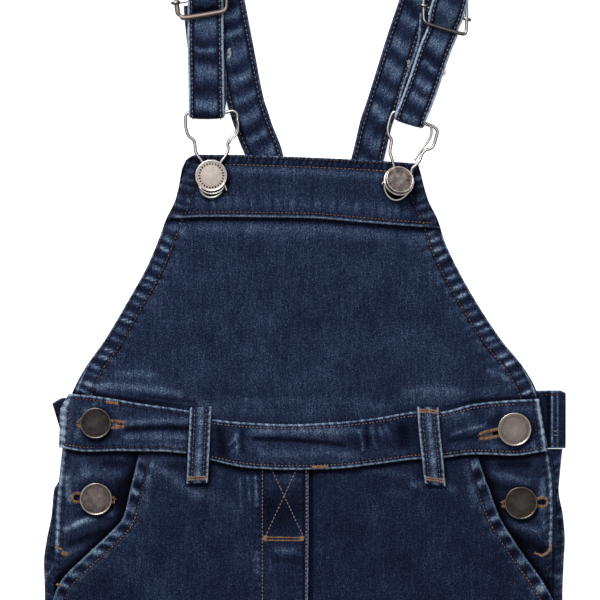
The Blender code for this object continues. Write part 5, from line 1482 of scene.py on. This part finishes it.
def sewBib():
    stitch, bibOn, bandOn = partial(sew, "bib"), onPanel(bibFront), onPanel(bandFront)
    heights, high = np.arange(30.0, 133.0, 0.7), np.arange(135.5, 164.0, 0.7)
    rows = ((bibOn, heights, 8.3, (0.34, 0.20), 0.6), (bibOn, heights, 1.7, 0.08, 0.42),
            (bandOn, high, 8.0, (0.30, 0.10), 0.5), (bandOn, high, 1.6, 0.02, 0.45))
    for name, sign in (("left", 1), ("right", -1)):
        for surface, up, inset, dye, thick in rows:
            stitch(surface, *inFrom(bib["sides"], name, up, inset, sign), dye, thick=thick)
    x = np.linspace(-73.5, 71.0, 220)
    stitch(bandOn, x, curve(bandEdges, "seam", x) + 2.6, [(-74, 0.1), (-50, 0.30), (60, 0.34), (72, 0.2)])
    x = np.linspace(-62.5, 59.0, 200)
    stitch(bandOn, x, curve(bandEdges, "top", x) - 5.4,
           [(-62, 0.05), (-42, 0.34), (20, 0.36), (30, 0.40), (44, 0.5), (59, 0.1)], 2.1)
    x = np.linspace(-60.0, 57.0, 200)
    stitch(bandOn, x, curve(bandEdges, "top", x) - 1.3, (0.10, 0.22), 1.9, 1.2, 0.55)


def sewWaist():
    stitch = partial(sew, "waistband", onWaist)
    place, level = np.linspace(-129.5, 128.6, 360), np.linspace(0.09, 0.91, 40)
    low, high = curves(waist["band"], "bottom top", place)
    edge = 2.3 / (high - low)
    stitch(place, edge, [(-130, 0.44), (-116, 0.38), (-112, 0.10), (-60, 0.06), (-59, 0.80), (20, 0.78), (60, 0.74),
                         (61, 0.36), (68, 0.40), (76, 0.74), (128, 0.70)], 1.9, 1.25, 0.48)
    stitch(place, 1 - edge, [(-130, 0.20), (-110, 0.38), (-101, 0.20), (-98, 0.06), (-60, 0.08), (-59, 0.80),
                             (10, 0.78), (64, 0.76), (66, 0.3), (77, 0.74), (112, 0.70), (113, 0.08),
                             (128, 0.06)], 1.9, 1.25, 0.48)
    for end in (-128.0, 126.6):
        stitch(end, level, [(-130, 0.16), (0, 0.2), (130, 0.06)])
    half = 0.85 / 26.0  # half a bartack's height, as a share of the band's
    for start, end, at, dye in ((-107.4, -101.0, 0.925, 0.52), (3.8, 12.6, 0.055, 0.54)):
        satin("waistband", onWaist, np.linspace(start, end, 20), at, -half, half, dye, 0.40, 0.42, 0.0, 0.12)


hemRow = legs["hemStitch"] - legLength  # the height of the stitches that hold a leg's hem
mockFly = {"seam": 1.3, "left": -23.0, "barHeight": -37.3, "end": -146.0}


def sewLegs():
    left, right = (onPanel(frontSheets[side]) for side in (-1, 1))
    stitch, tack = partial(sew, "leg", left), partial(satin, "leg", left)
    heights = np.arange(8.0, -150.0, -0.8)
    stitch(curve(legs["front"], "leftInner", heights) - mockFly["seam"], heights, (0.83, 0.76), thick=0.60)
    heights = np.arange(8.0, mockFly["end"], -0.8)
    curl = 1 - np.sqrt(np.clip(1 - np.clip((-heights - 118.0) / 28.0, 0, 1) ** 2, 0, 1))
    stitch(mockFly["left"] + 21.5 * curl, heights, (0.80, 0.74), thick=0.60)
    for line in ((-18.4, 1.0, -1.1, -35.4), (-4.3, 1.0, -21.6, -36.6)):
        stitch(*lineTo(*line), (0.86, 0.82), thick=0.58)
    foot = mockFly["barHeight"]
    for drop in (-0.8, 0.8):
        tack(np.linspace(-21.8, -1.0, 40), foot + drop, -0.36, 0.36, 0.47, 0.55, 0.34, 1.2, 0.10)
    for centre in (-21.6, -1.6):
        tack(np.linspace(centre - 1.1, centre + 1.1, 10), foot + 0.3, -1.5, 1.6, 0.50, 0.42, 0.42, 0.6, 0.12)
    mouthDyes = {-1: [(-128, 0.26), (-116, 0.38), (-91, 0.40), (-87, 0.08)],
                 1: [(92, 0.10), (96, 0.34), (108, 0.38), (128, 0.42)]}
    for side, surface in ((-1, left), (1, right)):
        stitch = partial(sew, "leg", surface)
        x, y = inFrom(legs["front"], sideNames[side], np.arange(8.0, -69.0, -0.7), legs["mouthStitch"], -1)
        stitch(side * x, y, mouthDyes[side])
        # the foot's hem and the inside leg
        outer, inner = legEdges(hemRow + 1, side)
        stitch(*lineTo(inner + side, hemRow, outer - side, hemRow, 150), 0.55, 2.4, 1.8)
        heights = np.arange(-172.0, -512.0, -2.0)
        stitch(legEdges(heights, side)[1] + side * 2.2, heights, 0.4, 2.4, 1.8)


def sewSides():
    panelOn = {side: onPanel(sidePanelSheet(side)) for side in (-1, 1)}
    for side, inset in ((-1, 3.4), (1, 2.3)):
        x, y = inFrom(sidePanel["edges"], sideNames[side], np.arange(6.0, -56.0, -0.7), inset, -1)
        sew("side", panelOn[side], side * x, y, (0.02, 0.14), 2.2, 1.5, 0.5)
        x, y = inFrom(legs["back"], sideNames[side], np.arange(-30.0, -512.0, -1.5), 1.4, -1)
        sew("side", onPanel(backLegSheet(side)), side * x, y, 0.16, 2.4, 1.8)
    # the bartacks beside the pockets' ends: on which panel, from where to where, dye, half width and unevenness
    for surface, line, dye, half, uneven in (
            (panelOn[-1], (-134.8, -41.6, -130.8, -43.4), 0.50, 0.75, 0.14),
            (panelOn[-1], (-131.6, -44.6, -127.6, -46.2), 0.40, 1.2, 0.14),
            (panelOn[1], (128.4, -46.6, 124.0, -44.8), 0.50, 0.7, 0.14),
            (panelOn[1], (132.8, -39.8, 132.4, -43.2), 0.53, 0.8, 0.14),
            (panelOn[1], (132.6, -42.6, 130.6, -45.4), 0.53, 0.9, 0.14),
            (panelOn[1], (131.2, -45.0, 127.6, -46.6), 0.53, 0.9, 0.14),
            (onPanel(frontSheets[-1]), (-134.0, -61.6, -131.4, -62.6), 0.38, 0.6, 0.12)):
        satin("side", surface, *lineTo(*line, 12), -half, half, dye, 0.40, 0.42, 0.5, uneven)


# the underside: seam and hem rows on the back of the back legs
def sewUnder():
    stitch = partial(sew, "under", lambda x, y: facing(joined(x, y, 0.22), -1.0))
    heights = np.arange(8.0, -150.0, -1.5)
    for side in (-1, 1):
        for inset in (1.8, 5.0):
            stitch(side * (curve(legs["back"], "inner", heights) + inset), heights, 0.45, 2.4, 1.8)
        low, high = curves(legs["back"], "inner " + sideNames[side], hemRow)
        stitch(*lineTo(side * (low + 1), hemRow, side * (high - 1), hemRow, 150), 0.55, 2.4, 1.8)


for job in (sewBib, sewWaist, sewLegs, sewSides, sewUnder):
    job()


# Buttonholes: satin round a slit with a pointed tip and an eyelet, and the slit cut through the cloth

slit = {
    # half the outline, from the eyelet's end to the tip, by share of the length and half width
    "outline": [(-1.0, 0.0), (-0.93, 1.35), (-0.78, 1.6), (-0.62, 1.1), (0.4, 1.05), (0.8, 0.8), (1.0, 0.0)],
    "satin": 1.75, "dye": 0.48,
}
buttonholes = {
    # middle, half length, angle in degrees of the way from eyelet to tip
    "waist_left": {"at": (-109.6, 24.9), "half": 12.1, "angle": -1.5, "panel": "waistband_cloth"},
    "waist_right": {"at": (104.5, 20.4), "half": 10.4, "angle": 192.0, "panel": "waistband_cloth"},
    "hip_left": {"at": (-114.2, -15.6), "half": 11.0, "angle": -4.0, "panel": "side_panel_left_cloth"},
    "hip_right": {"at": (118.6, -17.9), "half": 11.8, "angle": 183.0, "panel": "side_panel_right_cloth"},
}


# the waistband's back, front and wear with painted light and shade at x and y, found from its place and level
def waistAt(x, y):
    place = np.array(x, dtype=float)
    for _ in range(4):
        low, high = curves(waist["band"], "bottom top", place)
        level = np.clip((y - low) / (high - low), 0, 1)
        place = x - waistLean(place, level)
    return waistSheet(place, level)[2:]


def makeButtonhole(data):
    half = np.array(slit["outline"])
    outline = np.concatenate([half, half[-2:0:-1] * [1, -1]]) * [data["half"], 1.0]
    x, y = turnInPlane(outline[:, 0], outline[:, 1], data["at"], data["angle"])
    path = smoothPath(joined(x, y, 0.0), 0.4, True)
    sheet = waistAt if "waist" in data["panel"] else sidePanelSheet(-1 if x.mean() < 0 else 1)
    loop = np.concatenate([path, path[:2]])
    satin("buttonhole", onPanel(sheet, 0.05), *loop[:, :2].T, -0.1, slit["satin"], slit["dye"], 0.46, 0.42, 0.6, 0.12)
    # the cutter is the outline as an upright block, through the whole cloth; the outline runs clockwise, so its
    # faces are turned to look outwards
    points = np.concatenate([path + [0, 0, -4.0], path + [0, 0, 14.0]])
    walls, caps = tube(2, len(path))
    mesh = bpy.data.meshes.new("slit cutter")
    mesh.from_pydata(toFrame(points), [], [face[:1] + face[:0:-1] for face in walls.tolist() + caps.tolist()])
    cutter = placed("slit cutter", mesh)
    piece = bpy.data.objects[data["panel"]]
    cut = piece.modifiers.new("slit", "BOOLEAN")
    cut.operation, cut.object, cut.solver = "DIFFERENCE", cutter, "EXACT"
    bpy.context.view_layer.update()
    cutMesh = bpy.data.meshes.new_from_object(piece.evaluated_get(bpy.context.evaluated_depsgraph_get()))
    piece.modifiers.clear()
    piece.data = cutMesh
    bpy.data.objects.remove(cutter)


for data in buttonholes.values():
    makeButtonhole(data)

# loose thread ends where the straps' returning ends are sewn
fluff = {
    "left": [(-40.6, 224.4, 5.4), (-40.9, 222.6, 5.2), (-41.0, 226.0, 5.0), (-64.2, 221.9, 4.6)],
    "right": [(56.0, 219.6, 4.6), (56.2, 217.6, 4.4), (75.4, 212.8, 5.4), (75.2, 214.2, 5.2)],
}


# pale loose threads in the two waist buttonholes, by middle, half length and angle
slitThreads = {"left": (-101.6, 24.6, 3.2, -4.0, 6.8), "right": (97.6, 19.0, 4.0, 12.0, 7.0)}


def makeFluff():
    paths, places = [], strandShape["places"]
    for x, y, half, angle, z in slitThreads.values():
        t = half * (2 * places - 1)
        for offset in (-0.45, 0.0, 0.45):
            way = math.radians(angle + 9 * offset)
            curl = 0.25 * np.sin(2.2 * t + 5 * offset)
            wide, tall = x + t * math.cos(way), y + offset + t * math.sin(way) + curl
            paths.append(joined(wide, tall, z + 0.2 * np.cos(1.6 * t)))
    for rows in fluff.values():
        for n, (x, y, z) in enumerate(rows):
            for turn in range(6):
                angle, reach = places * 2.2 * (0.9 + 0.2 * turn) + 1.7 * turn + n, 0.25 + 0.17 * turn
                paths.append(joined(x + reach * np.cos(angle), y + 0.6 * np.sin(angle + n) + 0.25 * turn,
                                    z + 0.35 * np.sin(2 * angle)))
    addRow("strap", facing(np.array(paths)), 0.24, 1.25)


makeFluff()
for name, rows in seams.items():
    strands(name + "_stitches", rows)
print("stitches made:", {name: sum(len(row["path"]) for row in rows) for name, rows in seams.items()})

floor = {"size": 3.0, "drop": 0.4, "glow": 0.78}


def makeFloor():
    made, _, _ = newFinish("pale floor", {"Roughness": 0.9, "Base Color": (0.85, 0.85, 0.85, 1.0),
                                          "Emission Color": (1.0, 1.0, 1.0, 1.0), "Emission Strength": floor["glow"]})
    half = 0.5 * floor["size"]
    mesh = bpy.data.meshes.new("floor")
    mesh.from_pydata([(-half, -half, 0), (half, -half, 0), (half, half, 0), (-half, half, 0)], [], [(0, 1, 2, 3)])
    mesh.materials.append(made)
    piece = placed("floor", mesh)
    piece.location.z = -floor["drop"] * mm


view = {"centre": (-2.7, 91.8), "width": 324.0, "lens": 180.0, "level": 6.0}


def makeCamera():
    data = bpy.data.cameras.new("camera")
    data.lens = view["lens"]
    camera = placed("camera", data)
    height = view["width"] * data.lens / data.sensor_width + view["level"]
    camera.location = (view["centre"][0] * mm, (view["centre"][1] + waistSeam) * mm, height * mm)
    scene.camera = camera


def makeLight(name, place, power, size, aim=(0.0, 0.15, 0.0)):
    data = bpy.data.lights.new(name, "AREA")
    data.energy, data.size = power, size
    light = placed(name, data)
    light.location = place
    far = np.array(aim) - np.array(place)
    tilt = math.acos(-far[2] / np.linalg.norm(far))
    light.rotation_euler = (tilt, 0.0, math.atan2(-far[0], far[1]) if tilt > 0.001 else 0.0)


makeFloor()
makeCamera()
makeLight("key", (-0.45, 1.25, 0.95), 27.0, 0.5)
makeLight("fill", (0.7, -0.6, 1.3), 2.0, 1.2)


# the studio: a soft white ceiling that darkens down to the horizon
def makeWorld():
    made = bpy.data.worlds.new("studio")
    made.use_nodes = True
    tree = made.node_tree
    way = addNode(tree, "ShaderNodeTexCoord").outputs["Generated"]
    up = addNode(tree, "ShaderNodeSeparateXYZ", {0: way}).outputs[2]
    sky = ramp(tree, up, [(0.0, (0.16, 0.16, 0.16)), (0.45, (0.34, 0.34, 0.34)), (1.0, (0.74, 0.74, 0.74))])
    seen = addNode(tree, "ShaderNodeLightPath").outputs["Is Camera Ray"]
    light = addNode(tree, "ShaderNodeMix", {0: seen, 6: sky, 7: (0.93, 0.93, 0.93, 1.0)}, data_type="RGBA").outputs[2]
    tree.links.new(light, tree.nodes["Background"].inputs[0])
    scene.world = made


makeWorld()
scene.view_settings.view_transform = "Standard"
